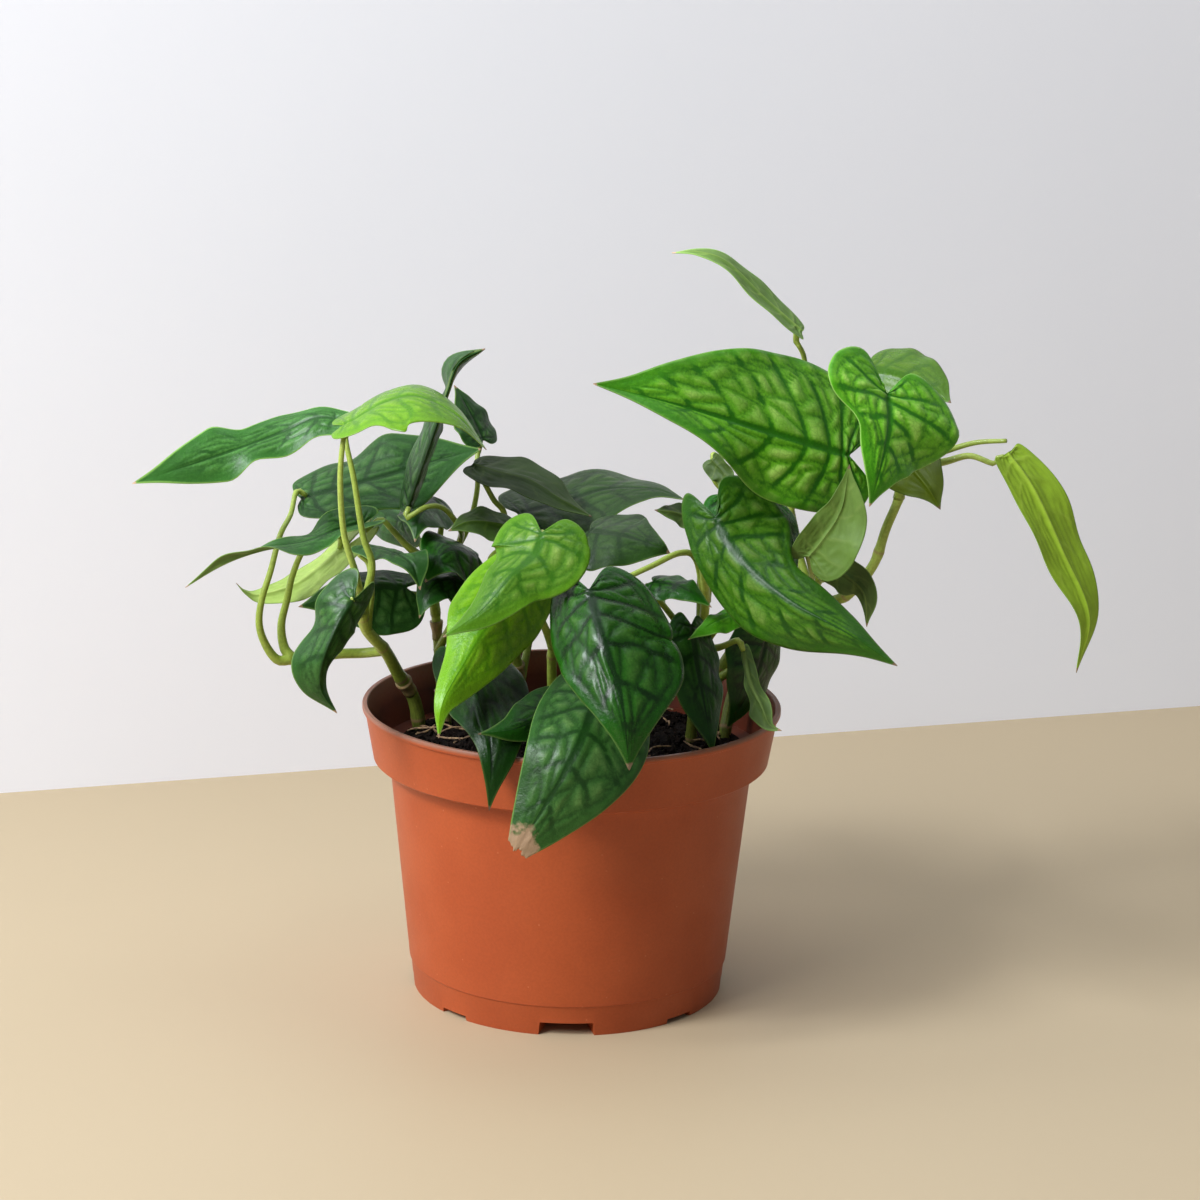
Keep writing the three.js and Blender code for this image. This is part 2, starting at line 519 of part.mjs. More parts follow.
// A round bar along a path, as a closed solid
function barGeometry(path, r0, r1, steps) {
  const points = path.map((p) => (Array.isArray(p) ? p : p.toArray()));
  const rib = ribOf(points);
  const rings = [];
  let side = new THREE.Vector3(1, 0, 0);
  for (let i = 0; i <= steps; i += 1) {
    const s = i / steps;
    const { place, tangent } = rib.at(s);
    if (Math.abs(side.dot(tangent)) > 0.95) side = new THREE.Vector3(0, 1, 0);
    side = across(side, tangent);
    const other = tangent.clone().cross(side);
    const r = r0 + (r1 - r0) * s;
    for (let k = 0; k < STEM_SIDES; k += 1) {
      const a = (k / STEM_SIDES) * Math.PI * 2;
      rings.push(place.clone().addScaledVector(side, r * Math.cos(a))
        .addScaledVector(other, r * Math.sin(a)).toArray());
    }
  }
  const faces = [];
  for (let i = 0; i < steps; i += 1) {
    for (let k = 0; k < STEM_SIDES; k += 1) {
      const a = i * STEM_SIDES + k;
      const b = i * STEM_SIDES + ((k + 1) % STEM_SIDES);
      faces.push([a, b, b + STEM_SIDES], [a, b + STEM_SIDES, a + STEM_SIDES]);
    }
  }
  const last = steps * STEM_SIDES;
  for (let k = 1; k < STEM_SIDES - 1; k += 1) {
    faces.push([0, k + 1, k], [last, last + k, last + k + 1]);
  }
  return outward(geometryOf(rings, faces));
}

function toSolid(geometry) {
  const clean = geometry.clone();
  clean.deleteAttribute('normal');
  clean.deleteAttribute('uv');
  const merged = mergeVertices(clean, 1e-4);
  return new wasm.Manifold(new wasm.Mesh({
    numProp: 3,
    vertProperties: new Float32Array(merged.getAttribute('position').array),
    triVerts: new Uint32Array(merged.getIndex().array),
  }));
}

function toGeometry(solid) {
  const mesh = solid.getMesh();
  const geometry = new THREE.BufferGeometry();
  geometry.setAttribute('position', new THREE.BufferAttribute(new Float32Array(mesh.vertProperties), 3));
  geometry.setIndex(Array.from(mesh.triVerts));
  return geometry;
}

function stepsFor(path) {
  return Math.min(10, Math.max(3, Math.round(ribOf(path).length / 11)));
}

// A stem starts upright in its hole and carries its petioles
function shootSolid(shoot) {
  const [x, y, z] = shoot.stem[0];
  const stem = [[x, y, z - HOLE_DEPTH + 1], [x, y, z - 4], ...shoot.stem.slice(1)];
  let solid = toSolid(barGeometry(stem, STEM_R, PETIOLE_FOOT_R, stepsFor(stem) + 2));
  const bars = [];
  if (shoot.runner) bars.push([shoot.runner, PETIOLE_FOOT_R, PETIOLE_FOOT_R]);
  if (shoot.tendril) bars.push([shoot.tendril, PETIOLE_FOOT_R, PETIOLE_TIP_R]);
  Object.entries(shoot.petioles).forEach(([name, path]) => {
    const { end, before } = petioleEnd(LEAVES[name], PETIOLE_TIP_R, path[path.length - 1]);
    bars.push([[...path, before.toArray(), end.toArray()], PETIOLE_FOOT_R, PETIOLE_TIP_R]);
  });
  bars.forEach(([path, r0, r1]) => {
    solid = solid.add(toSolid(barGeometry(path, r0, r1, stepsFor(path))));
  });
  return solid;
}

// Soil surface by distance from the axis
function soilHeight(r) {
  return SOIL_EDGE_Z + SOIL_MOUND * (1 - (r / 64) ** 2);
}

function wallRadius(z) {
  const foot = SKIRT_HEIGHT;
  const top = POT_HEIGHT - COLLAR_HEIGHT;
  return WALL_FOOT_R + (WALL_TOP_R - WALL_FOOT_R) * ((z - foot) / (top - foot));
}

function lathe(profilePoints, segments) {
  const points = profilePoints.map(([r, z]) => new THREE.Vector2(r, z));
  const geometry = new THREE.LatheGeometry(points, segments);
  geometry.rotateX(Math.PI / 2);
  geometry.deleteAttribute('normal');
  geometry.deleteAttribute('uv');
  return outward(dropSlivers(mergeVertices(geometry, 1e-4)));
}

// Faces with no area come out of a lathe on its axis
function dropSlivers(geometry) {
  const index = geometry.getIndex().array;
  const kept = [];
  for (let i = 0; i < index.length; i += 3) {
    const [a, b, c] = [index[i], index[i + 1], index[i + 2]];
    if (a !== b && b !== c && a !== c) kept.push(a, b, c);
  }
  geometry.setIndex(kept);
  return geometry;
}

function potGeometry() {
  const collarFoot = POT_HEIGHT - COLLAR_HEIGHT;
  const inner = wallRadius(collarFoot) - POT_WALL;
  let pot = toSolid(lathe([
    [0, 0], [BASE_R, 0], [SKIRT_R, SKIRT_HEIGHT - 0.4], [WALL_FOOT_R, SKIRT_HEIGHT],
    [WALL_TOP_R, collarFoot + 1.5], [COLLAR_FOOT_R, collarFoot], [RIM_R - 1, POT_HEIGHT - LIP - 0.6],
    [RIM_R, POT_HEIGHT - LIP], [RIM_R, POT_HEIGHT - 0.3], [RIM_R - 0.4, POT_HEIGHT],
    [RIM_R - 2, POT_HEIGHT], [COLLAR_FOOT_R - 1.4, collarFoot + 2.6], [inner, collarFoot + 1.2],
    [WALL_FOOT_R - POT_WALL, SKIRT_HEIGHT], [SKIRT_R - POT_WALL - 0.4, FLOOR_TOP],
    [38, FLOOR_TOP], [35, 1.6], [0, 1.6], [0, 0],
  ], POT_SEGMENTS));
  for (let i = 0; i < NOTCH_COUNT; i += 1) {
    const notch = notchGeometry(i % 2 === 0 ? TALL_NOTCH : LOW_NOTCH);
    notch.rotateZ((i / NOTCH_COUNT) * Math.PI * 2);
    pot = pot.subtract(toSolid(notch));
  }
  return toGeometry(pot);
}

// A radial drainage channel, narrower inside, with its roof falling towards the middle
function notchGeometry({ outerWidth, innerWidth, height }) {
  const outerR = BASE_R + 4;
  const wide = outerWidth / 2;
  const narrow = innerWidth / 2;
  const plan = [[-narrow, -NOTCH_INNER_R], [-wide, -outerR], [wide, -outerR], [narrow, -NOTCH_INNER_R]];
  const low = plan.map(([x, y]) => [x, y, -1]);
  const high = plan.map(([x, y]) => [x * 0.94, y, height]);
  const faces = [[0, 2, 1], [0, 3, 2], [4, 5, 6], [4, 6, 7]];
  for (let i = 0; i < 4; i += 1) {
    const j = (i + 1) % 4;
    faces.push([i, j, j + 4], [i, j + 4, i + 4]);
  }
  return outward(geometryOf([...low, ...high], faces));
}

function soilGeometry() {
  const wallAtTop = wallRadius(SOIL_EDGE_Z - 3) - POT_WALL - GAP;
  const surface = [0, 16, 32, 46, 57, 63].map((r) => [r, soilHeight(r)]).reverse();
  let soil = toSolid(lathe([
    [0, 1.6 + GAP], [34.6, 1.6 + GAP], [37.8, FLOOR_TOP + GAP], [SKIRT_R - POT_WALL - 0.8, FLOOR_TOP + GAP],
    [WALL_FOOT_R - POT_WALL - GAP - 0.1, SKIRT_HEIGHT + 0.2], [wallAtTop - 0.2, SOIL_EDGE_Z - 4],
    ...surface, [0, 1.6 + GAP],
  ], 36));
  Object.values(SHOOTS).forEach((shoot) => {
    const [x, y, z] = shoot.stem[0];
    const hole = [[x, y, z - HOLE_DEPTH], [x, y, z + 12]];
    soil = soil.subtract(toSolid(barGeometry(hole, HOLE_R, HOLE_R, 1)));
  });
  return toGeometry(soil);
}

const group = new THREE.Group();
group.name = 'potted_monstera_siltepecana';

function addPart(name, geometry, look) {
  geometry.deleteAttribute('normal');
  geometry.computeVertexNormals();
  const mesh = new THREE.Mesh(geometry, look);
  mesh.name = name;
  group.add(mesh);
}

addPart('pot', potGeometry(), MATERIALS.pot);
addPart('soil', soilGeometry(), MATERIALS.soil);
Object.entries(SHOOTS).forEach(([name, shoot]) => {
  addPart(name, toGeometry(shootSolid(shoot)), MATERIALS.stem);
});
Object.entries(LEAVES).forEach(([name, leaf]) => {
  addPart(name, leafGeometry(leaf), LIME_LEAVES.includes(name) ? MATERIALS.lime : MATERIALS.leaf);
});

// The origin is the middle of the whole plant's box, on the table
const box = new THREE.Box3().setFromObject(group);
const middle = box.getCenter(new THREE.Vector3());
group.children.forEach((mesh) => mesh.geometry.translate(-middle.x, -middle.y, -box.min.z));

export default group;
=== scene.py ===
import json
import math

import bpy
import bmesh
import numpy as np
from mathutils import Matrix, Vector, noise


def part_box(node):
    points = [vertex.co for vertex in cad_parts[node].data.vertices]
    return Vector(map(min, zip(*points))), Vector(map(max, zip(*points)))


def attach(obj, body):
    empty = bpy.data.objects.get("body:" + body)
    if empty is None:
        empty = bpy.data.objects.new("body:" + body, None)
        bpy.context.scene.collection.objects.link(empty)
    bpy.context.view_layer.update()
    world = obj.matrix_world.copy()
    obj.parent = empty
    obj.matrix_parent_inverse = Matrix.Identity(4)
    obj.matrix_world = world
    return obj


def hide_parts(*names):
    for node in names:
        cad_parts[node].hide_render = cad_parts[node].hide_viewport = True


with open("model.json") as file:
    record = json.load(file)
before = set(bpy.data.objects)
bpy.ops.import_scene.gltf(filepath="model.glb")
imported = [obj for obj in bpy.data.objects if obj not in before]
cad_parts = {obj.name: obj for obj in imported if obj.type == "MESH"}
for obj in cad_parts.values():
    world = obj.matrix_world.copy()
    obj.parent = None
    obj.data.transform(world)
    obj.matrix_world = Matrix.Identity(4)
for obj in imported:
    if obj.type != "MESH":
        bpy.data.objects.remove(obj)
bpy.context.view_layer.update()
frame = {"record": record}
scene = bpy.context.scene
mm = 0.001

# The pot's axis on the floor: the leaf tables are measured from it
potLow, potHigh = (Vector(corner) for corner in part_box("pot"))
potFoot = Vector(((potLow.x + potHigh.x) / 2, (potLow.y + potHigh.y) / 2, potLow.z))


def fromPot(point):
    return potFoot + Vector(point) * mm


def linear(hexColour):
    # sRGB hex to linear RGBA
    parts = [int(hexColour[i:i + 2], 16) / 255 for i in (1, 3, 5)]
    return tuple(c / 12.92 if c <= 0.04045 else ((c + 0.055) / 1.055) ** 2.4 for c in parts) + (1.0,)


# Camera: fitted to the pot in the photograph, in the pot's own frame
cameraFit = {
    "place": (0.0, -1000.0, 382.58),
    "pitchDown": 0.235186,
    "yawRight": 0.0094074,
    "roll": 0.0189829,
    "focalPx": 2889.01,
    "imagePx": 1200,
    "sensorMm": 36.0,
}


def addCamera():
    data = bpy.data.cameras.new("photoCamera")
    data.sensor_width = cameraFit["sensorMm"]
    data.lens = cameraFit["focalPx"] / cameraFit["imagePx"] * cameraFit["sensorMm"]
    data.clip_start = 0.05
    camera = bpy.data.objects.new("photoCamera", data)
    scene.collection.objects.link(camera)
    pitch, yaw, roll = (cameraFit[k] for k in ("pitchDown", "yawRight", "roll"))
    forward = Vector((math.sin(yaw) * math.cos(pitch), math.cos(yaw) * math.cos(pitch), -math.sin(pitch)))
    level = Vector((math.cos(yaw), -math.sin(yaw), 0))
    upright = level.cross(forward)
    right = level * math.cos(roll) + upright * math.sin(roll)
    up = upright * math.cos(roll) - level * math.sin(roll)
    rotation = camera.matrix_world.to_3x3()
    for row in range(3):
        rotation[row][0], rotation[row][1], rotation[row][2] = right[row], up[row], -forward[row]
    camera.matrix_world = rotation.to_4x4()
    camera.location = fromPot(cameraFit["place"])
    scene.camera = camera


addCamera()
print("camera placed")

# Curves and leaf outlines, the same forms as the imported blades


def catmull(points, t):
    points = np.asarray(points, float)
    n = len(points) - 1
    k = np.clip(np.asarray(t, float), 0, 1) * n
    i = np.minimum(k.astype(int), n - 1)
    w = (k - i)[..., None]
    ends = np.vstack([2 * points[0] - points[1], points, 2 * points[-1] - points[-2]])
    a, b, c, d = ends[i], ends[i + 1], ends[i + 2], ends[i + 3]
    v0, v1 = (c - a) / 2, (d - b) / 2
    return (2 * b - 2 * c + v0 + v1) * w ** 3 + (-3 * b + 3 * c - 2 * v0 - v1) * w ** 2 + v0 * w + b


class Rib:
    # A curve walked by its length
    def __init__(self, points):
        self.points = np.asarray(points, float)
        self.t = np.linspace(0, 1, 201)
        steps = np.diff(catmull(self.points, self.t), axis=0)
        marks = np.concatenate([[0], np.cumsum(np.linalg.norm(steps, axis=1))])
        self.length = marks[-1]
        self.marks = marks / marks[-1]

    def place(self, x):
        return catmull(self.points, np.interp(np.clip(x, 0, 1), self.marks, self.t))

    def at(self, x):
        x = np.asarray(x, float)
        inside = np.clip(x, 0, 1)
        tangent = self.place(inside + 0.001) - self.place(inside - 0.001)
        tangent /= np.linalg.norm(tangent, axis=-1, keepdims=True)
        return self.place(x) + tangent * (np.minimum(x, 0) * self.length)[..., None], tangent


def dot(a, b):
    return (a * b).sum(-1, keepdims=True)


def unit(v):
    return v / np.maximum(np.linalg.norm(v, axis=-1, keepdims=True), 1e-9)


outlines = {
    # along the rib, across, and where the vein of that place leaves the rib
    "heart": [[0, 0, 0], [-1, 0.36, 0], [-0.55, 0.8, 0.02], [0.14, 1, 0.07], [0.34, 0.97, 0.19],
              [0.54, 0.76, 0.37], [0.73, 0.45, 0.57], [0.88, 0.17, 0.78], [1, 0, 1]],
    "lance": [[0, 0, 0], [-1, 0.3, 0], [-0.3, 0.66, 0.02], [0.14, 0.93, 0.07], [0.34, 1, 0.19],
              [0.55, 0.84, 0.37], [0.74, 0.53, 0.57], [0.89, 0.2, 0.78], [1, 0, 1]],
}
bladeForm = {"cup": -0.12, "wave": 1.0}


class Blade:
    # The surface of one leaf: t runs from the sinus round to the tip, u from margin to margin
    def __init__(self, leaf):
        self.leaf = leaf
        self.rib = Rib(leaf["rib"])
        self.form = np.array(outlines[leaf["form"]], float)
        self.form[1:3, 0] *= leaf["lobe"]
        profile = catmull(self.form, np.linspace(0.3, 1, 400))
        self.stops, self.widths, self.ways = [], [], []
        for s, left, right in leaf["across"]:
            place, tangent = self.rib.at(np.array(s))
            reach = [np.array(p, float) - place for p in (left, right)]
            reach = [r - r.dot(tangent) * tangent for r in reach]
            half = np.interp(s, profile[:, 0], profile[:, 1])
            self.stops.append(s)
            self.widths.append([np.linalg.norm(r) / half for r in reach])
            self.ways.append([r / np.linalg.norm(r) for r in reach])
        self.widths, self.ways = np.array(self.widths), np.array(self.ways)

    def blend(self, values, along):
        k = np.interp(along, self.stops, np.arange(len(self.stops)))
        i = np.minimum(k.astype(int), max(len(self.stops) - 2, 0))
        j = np.minimum(i + 1, len(self.stops) - 1)
        w = k - i
        w = (w * w * (3 - 2 * w)).reshape(w.shape + (1,) * (values.ndim - 1))
        return values[i] * (1 - w) + values[j] * w

    def grid(self, ts, us):
        # ts holds one row of places for each row of the mesh
        form = catmull(self.form, ts if np.ndim(ts) == 2 else np.asarray(ts)[:, None])
        x, y, g = (form[..., i] for i in range(3))
        u = us[None]
        along = g + (x - g) * np.abs(u) ** 1.5
        place, tangent = self.rib.at(along)
        width, way = self.blend(self.widths, along), self.blend(self.ways, along)
        left = unit(way[..., 0, :] - dot(way[..., 0, :], tangent) * tangent)
        right = unit(way[..., 1, :] - dot(way[..., 1, :], tangent) * tangent)
        onRight = (u > 0)[..., None]
        normalLeft, normalRight = np.cross(tangent, left), np.cross(right, tangent)
        normal = np.where(onRight, normalRight, normalLeft)
        normal = np.where((np.abs(u) < 1e-6)[..., None], unit(normalLeft + normalRight), normal)
        side = np.where(onRight, right, left)
        half = np.where(u > 0, width[..., 1], width[..., 0])
        reach = y * np.abs(u)
        ripple = np.sin(np.pi * 5 * along + np.sign(u) * 0.8) * np.sin(np.pi * np.clip(along, 0, 1))
        cup, wave = (self.leaf.get(k, bladeForm[k]) for k in ("cup", "wave"))
        lift = (cup * half + wave * ripple) * reach ** 2
        return place + side * (half * reach)[..., None] + normal * lift[..., None], normal, half * y


def leafRow(form, lobe, tone, rib, across, **more):
    return {"form": form, "lobe": lobe, "tone": tone, "rib": rib, "across": across, **more}


# Leaves, in whole millimetres from the pot's foot: outline, how far its lobes reach back, tone of the
# upper side, the rib from the petiole to the tip, and where the left and right margins pass at shares
# of its length
# A leaf's extra factor, where given, multiplies its colour: below 1 it is painted shade, above 1 painted light
leaves = {
    "leaf_01": leafRow("lance", 0.04, "dusk", [(-80, -20, 210), (-90, -18, 210), (-101, -18, 205),
        (-115, -22, 200), (-134, -28, 194), (-151, -34, 189)], [(0.14, (-88, -24, 205), (-88, -14, 214)),
        (0.3, (-99, -25, 199), (-102, -12, 211)), (0.44, (-110, -27, 197), (-113, -16, 206)),
        (0.6, (-126, -30, 187), (-125, -20, 207))], under="grass", shade=2.1),
    "leaf_02": leafRow("heart", 0.08, "bright", [(-78, -42, 212), (-74, -42, 214), (-64, -42, 220),
        (-53, -42, 222), (-40, -44, 216), (-30, -46, 205)], [(0.14, (-73, -24, 220), (-74, -54, 213)),
        (0.4, (-59, -24, 226), (-58, -62, 217))], cup=-0.2, wave=0.3, shade=0.85),
    "leaf_03": leafRow("lance", 0.05, "dusk", [(-59, -4, 175), (-55, -8, 187), (-50, -12, 202),
        (-45, -10, 218), (-41, -6, 228), (-32, -4, 233)], [(0.3, (-61, 6, 191), (-50, 8, 190)),
        (0.72, (-47, 2, 218), (-44, 6, 217)), (0.86, (-45, 4, 229), (-39, 8, 225))]),
    "leaf_04": leafRow("lance", 0.03, "dusk", [(-98, 14, 175), (-83, 16, 179), (-67, 20, 183), (-50, 24, 188),
        (-34, 26, 192)], [(0.3, (-83, 32, 188), (-81, 2, 173)), (0.6, (-62, 34, 198), (-61, 8, 174))],
        cup=-0.15),
    "leaf_05": leafRow("heart", 0.1, "dusk", [(-74, -2, 170), (-82, -8, 169), (-94, -16, 166),
        (-108, -24, 165), (-120, -28, 161), (-134, -30, 152)], [(0.14, (-83, -14, 168), (-82, -2, 176)),
        (0.27, (-90, -20, 164), (-90, -4, 169)), (0.45, (-100, -28, 164), (-101, -16, 167)),
        (0.62, (-111, -30, 166), (-112, -22, 164)), (0.8, (-122, -30, 163), (-122, -26, 160))], under="dull",
        shade=1.45),
    "leaf_06": leafRow("heart", 0.3, "dusk", [(-83, 16, 157), (-91, 14, 150), (-100, 10, 144), (-112, 6, 141),
        (-117, 3, 143), (-120, 0, 147)], [(0.3, (-94, 28, 148), (-91, 4, 143)),
        (0.6, (-107, 14, 144), (-105, 4, 138))], under="cream", shade=0.8),
    "leaf_07": leafRow("heart", 0.2, "dusk", [(-73, -62, 157), (-78, -66, 149), (-83, -68, 137),
        (-84, -66, 126), (-79, -62, 117)], [(0.06, (-64, -42, 155), (-88, -60, 154)),
        (0.35, (-73, -50, 140), (-92, -60, 138)), (0.72, (-82, -60, 125), (-93, -62, 125))]),
    "leaf_08": leafRow("heart", 0.1, "dusk", [(-73, -12, 164), (-63, -18, 163), (-56, -24, 160),
        (-53, -28, 152)], [(0.35, (-63, -2, 162), (-65, -26, 162)), (0.7, (-52, -20, 164), (-59, -28, 160))]),
    "leaf_09": leafRow("heart", 0.15, "dusk", [(-60, 10, 144), (-70, 6, 145), (-84, -2, 144),
        (-97, -10, 141)], [(0.3, (-70, -4, 130), (-72, 16, 150))]),
    "leaf_10": leafRow("heart", 0.1, "deep", [(-34, 4, 157), (-42, -4, 162), (-48, -12, 160),
        (-52, -16, 152)], [(0.35, (-39, -18, 148), (-45, 12, 165))], shade=0.75),
    "leaf_11": leafRow("heart", 0.1, "dusk", [(-51, 22, 175), (-53, 8, 174), (-55, -4, 172), (-56, -10, 165)],
        [(0.3, (-44, 8, 167), (-66, -1, 170))]),
    "leaf_12": leafRow("heart", 0.1, "fresh", [(-22, -8, 170), (-29, -10, 172), (-37, -14, 173),
        (-44, -18, 171)], [(0.4, (-31, 0, 174), (-32, -20, 168))], under="moss", shade=0.85),
    "leaf_13": leafRow("lance", 0.04, "slate", [(-36, 0, 191), (-27, -4, 189), (-16, -8, 187), (-5, -12, 181),
        (6, -14, 176)], [(0.35, (-23, -14, 184), (-20, 10, 190))], under="moss", shade=0.4),
    "leaf_14": leafRow("heart", 0.06, "slate", [(-20, 4, 173), (-5, 8, 176), (10, 10, 181), (27, 8, 182),
        (39, 4, 179)], [(0.4, (8, 30, 189), (5, -10, 170)), (0.7, (23, 24, 183), (23, -4, 179))], shade=0.85),
    "leaf_15": leafRow("heart", 0.1, "slate", [(5, -22, 173), (17, -30, 173), (28, -32, 170), (33, -30, 167)],
        [(0.3, (21, -8, 178), (9, -40, 164))], shade=0.85),
    "leaf_16": leafRow("heart", 0.1, "slate", [(45, 10, 169), (37, 6, 173), (28, 0, 176)],
        [(0.4, (38, 14, 174), (36, 2, 170))], shade=0.85),
    "leaf_17": leafRow("heart", 0.14, "lime", [(-11, -54, 179), (-13, -60, 173), (-21, -68, 167),
        (-31, -74, 156), (-43, -78, 148)], [(0.08, (6, -56, 175), (-28, -50, 176)),
        (0.4, (-9, -68, 162), (-31, -62, 166))], shade=0.67),
    "leaf_18": leafRow("heart", 0.18, "gloss", [(5, -68, 163), (9, -84, 152), (14, -92, 139), (17, -98, 127),
        (19, -100, 110)], [(0.3, (35, -74, 147), (-8, -74, 145)), (0.6, (37, -84, 134), (3, -92, 131))],
        dryMm=4, shade=0.48),
    "leaf_19": leafRow("heart", 0.16, "silver", [(47, -52, 185), (51, -58, 178), (60, -67, 169),
        (73, -77, 161), (89, -85, 154), (106, -90, 144)], [(0.08, (70, -44, 189), (38, -50, 173)),
        (0.4, (69, -58, 175), (53, -62, 151)), (0.7, (87, -74, 161), (77, -76, 147))], shade=0.46),
    "leaf_20": leafRow("heart", 0.1, "gloss", [(52, -28, 188), (61, -34, 184), (71, -38, 174),
        (76, -40, 159)], [(0.35, (70, -20, 188), (55, -42, 176))], shade=0.7),
    "leaf_21": leafRow("heart", 0.1, "silver", [(93, -34, 203), (71, -46, 211), (48, -56, 219),
        (27, -64, 226), (5, -70, 232)], [(0.28, (61, -60, 194), (74, -26, 237)),
        (0.7, (28, -72, 221), (26, -56, 241))], shade=1.2),
    "leaf_22": leafRow("heart", 0.3, "silver", [(102, -60, 229), (102, -70, 220), (99, -80, 209),
        (95, -86, 196)], [(0.04, (129, -44, 224), (83, -68, 244)), (0.5, (113, -62, 210), (92, -80, 220))],
        shade=1.65),
    "leaf_23": leafRow("heart", 0.1, "bright", [(102, -6, 229), (111, -12, 228), (121, -18, 225),
        (128, -24, 220)], [(0.35, (116, 4, 236), (112, -20, 216))], shade=0.5),
    "leaf_24": leafRow("heart", 0.1, "fresh", [(79, -52, 172), (83, -54, 178), (89, -55, 189),
        (91, -55, 204)], [(0.35, (99, -60, 181), (78, -55, 184))], under="pale", shade=0.49),
    "leaf_25": leafRow("heart", 0.1, "gloss", [(85, -42, 168), (93, -46, 164), (99, -48, 158),
        (100, -46, 146)], [(0.4, (90, -40, 159), (99, -50, 167))], shade=0.8),
    "leaf_26": leafRow("lance", 0, "lime", [(147, -30, 204), (156, -34, 192), (166, -38, 172),
        (176, -40, 150), (173, -42, 130)], [(0.35, (152, -42, 183), (169, -26, 185))], under="lime"),
    "leaf_27": leafRow("lance", 0.02, "fresh", [(76, -20, 243), (63, -22, 254), (50, -24, 266),
        (40, -26, 270), (31, -27, 270)], [(0.35, (67, -12, 254), (61, -30, 253))], cup=-0.05, wave=0.5,
        under="dull", shade=2.2),
    "leaf_28": leafRow("heart", 0.05, "fresh", [(48, -2, 195), (53, -6, 189), (51, -10, 180)],
        [(0.35, (46, -2, 191), (58, -10, 188))], under="dull", shade=0.8),
    "leaf_29": leafRow("heart", 0.14, "deep", [(-38, -40, 132), (-32, -54, 125), (-27, -74, 110),
        (-27, -80, 89)], [(0.33, (-14, -50, 122), (-45, -48, 124)), (0.68, (-17, -74, 108), (-31, -76, 107))],
        shade=0.31),
    "leaf_30": leafRow("heart", 0.1, "deep", [(-3, -52, 120), (-17, -71, 116), (-31, -81, 116)],
        [(0.35, (-14, -73, 109), (-15, -55, 123))], shade=0.6),
    "leaf_31": leafRow("heart", 0.1, "dusk", [(9, -64, 127), (2, -86, 113), (-9, -92, 94), (-23, -94, 71)],
        [(0.33, (22, -86, 103), (-14, -80, 118))], end=0.86, dryMm=13),
    "leaf_32": leafRow("lance", 0.1, "deep", [(41, -26, 141), (43, -36, 129), (46, -42, 115), (49, -46, 100)],
        [(0.35, (54, -30, 119), (33, -40, 129))], shade=0.7),
    "leaf_33": leafRow("heart", 0.05, "fresh", [(56, -36, 148), (48, -42, 146), (39, -48, 141)],
        [(0.4, (49, -46, 142), (48, -38, 148))], shade=0.8),
    "leaf_34": leafRow("heart", 0.1, "deep", [(27, -34, 158), (37, -42, 158), (47, -46, 152)],
        [(0.4, (39, -34, 160), (35, -46, 154))], shade=0.7),
    "leaf_35": leafRow("lance", 0.05, "fresh", [(60, -20, 131), (62, -30, 122), (66, -40, 115),
        (68, -46, 111), (72, -50, 110)], [(0.35, (61, -28, 120), (65, -30, 122)),
        (0.75, (64, -46, 108), (69, -42, 114))]),
    "leaf_36": leafRow("heart", 0.1, "deep", [(69, -2, 131), (66, -6, 120), (61, -10, 109), (55, -14, 100)],
        [(0.4, (73, 2, 115), (54, -16, 122))], under="moss", shade=0.7),
    "leaf_37": leafRow("heart", 0.1, "dusk", [(-34, 39, 193), (-37, 41, 199), (-41, 43, 206), (-45, 45, 212)],
        [(0.35, (-46, 34, 205), (-31, 49, 199))]),
    "leaf_38": leafRow("heart", 0.1, "deep", [(-40, -2, 151), (-48, -10, 151), (-52, -14, 146),
        (-54, -16, 139)], [(0.35, (-47, -18, 144), (-53, -2, 153))], shade=0.75),
    "leaf_39": leafRow("heart", 0.1, "fresh", [(109, -30, 208), (114, -34, 200), (120, -38, 193),
        (124, -40, 186)], [(0.33, (106, -30, 193), (126, -38, 204))], under="olive", shade=0.31),
    "leaf_40": leafRow("heart", 0.1, "bright", [(-16, -44, 163), (-27, -58, 151), (-37, -70, 136),
        (-43, -78, 125), (-44, -80, 114)], [(0.3, (-13, -50, 140), (-41, -50, 156)),
        (0.6, (-28, -66, 129), (-44, -66, 137))], shade=0.9),
    "leaf_41": leafRow("heart", 0.2, "dusk", [(-63, 45, 161), (-75, 60, 163), (-86, 78, 161), (-96, 92, 155)],
        [(0.3, (-73, 55, 152), (-67, 70, 169))]),
    "leaf_42": leafRow("heart", 0.2, "silver", [(-5, 40, 163), (-6, 60, 162), (-6, 85, 155), (-6, 105, 144)],
        [(0.3, (-19, 62, 160), (9, 62, 161))]),
    "leaf_43": leafRow("heart", 0.2, "deep", [(-34, 35, 134), (-39, 55, 135), (-43, 78, 127), (-46, 98, 114)],
        [(0.3, (-50, 58, 132), (-26, 66, 128))]),
    "leaf_44": leafRow("heart", 0.2, "silver", [(17, 35, 135), (20, 58, 133), (23, 82, 124), (26, 100, 107)],
        [(0.3, (5, 62, 130), (35, 56, 131))]),
    "leaf_45": leafRow("heart", 0.2, "silver", [(62, 25, 147), (71, 45, 147), (80, 68, 138), (88, 88, 123)],
        [(0.3, (61, 60, 140), (80, 38, 143))]),
    "leaf_46": leafRow("heart", 0.2, "deep", [(71, 15, 199), (66, 35, 201), (61, 60, 199), (58, 85, 192)],
        [(0.3, (53, 30, 199), (81, 55, 200))]),
    "leaf_47": leafRow("heart", 0.2, "silver", [(90, 14, 207), (95, 34, 210), (102, 59, 207), (108, 84, 197)],
        [(0.3, (86, 49, 207), (110, 39, 203))]),
}

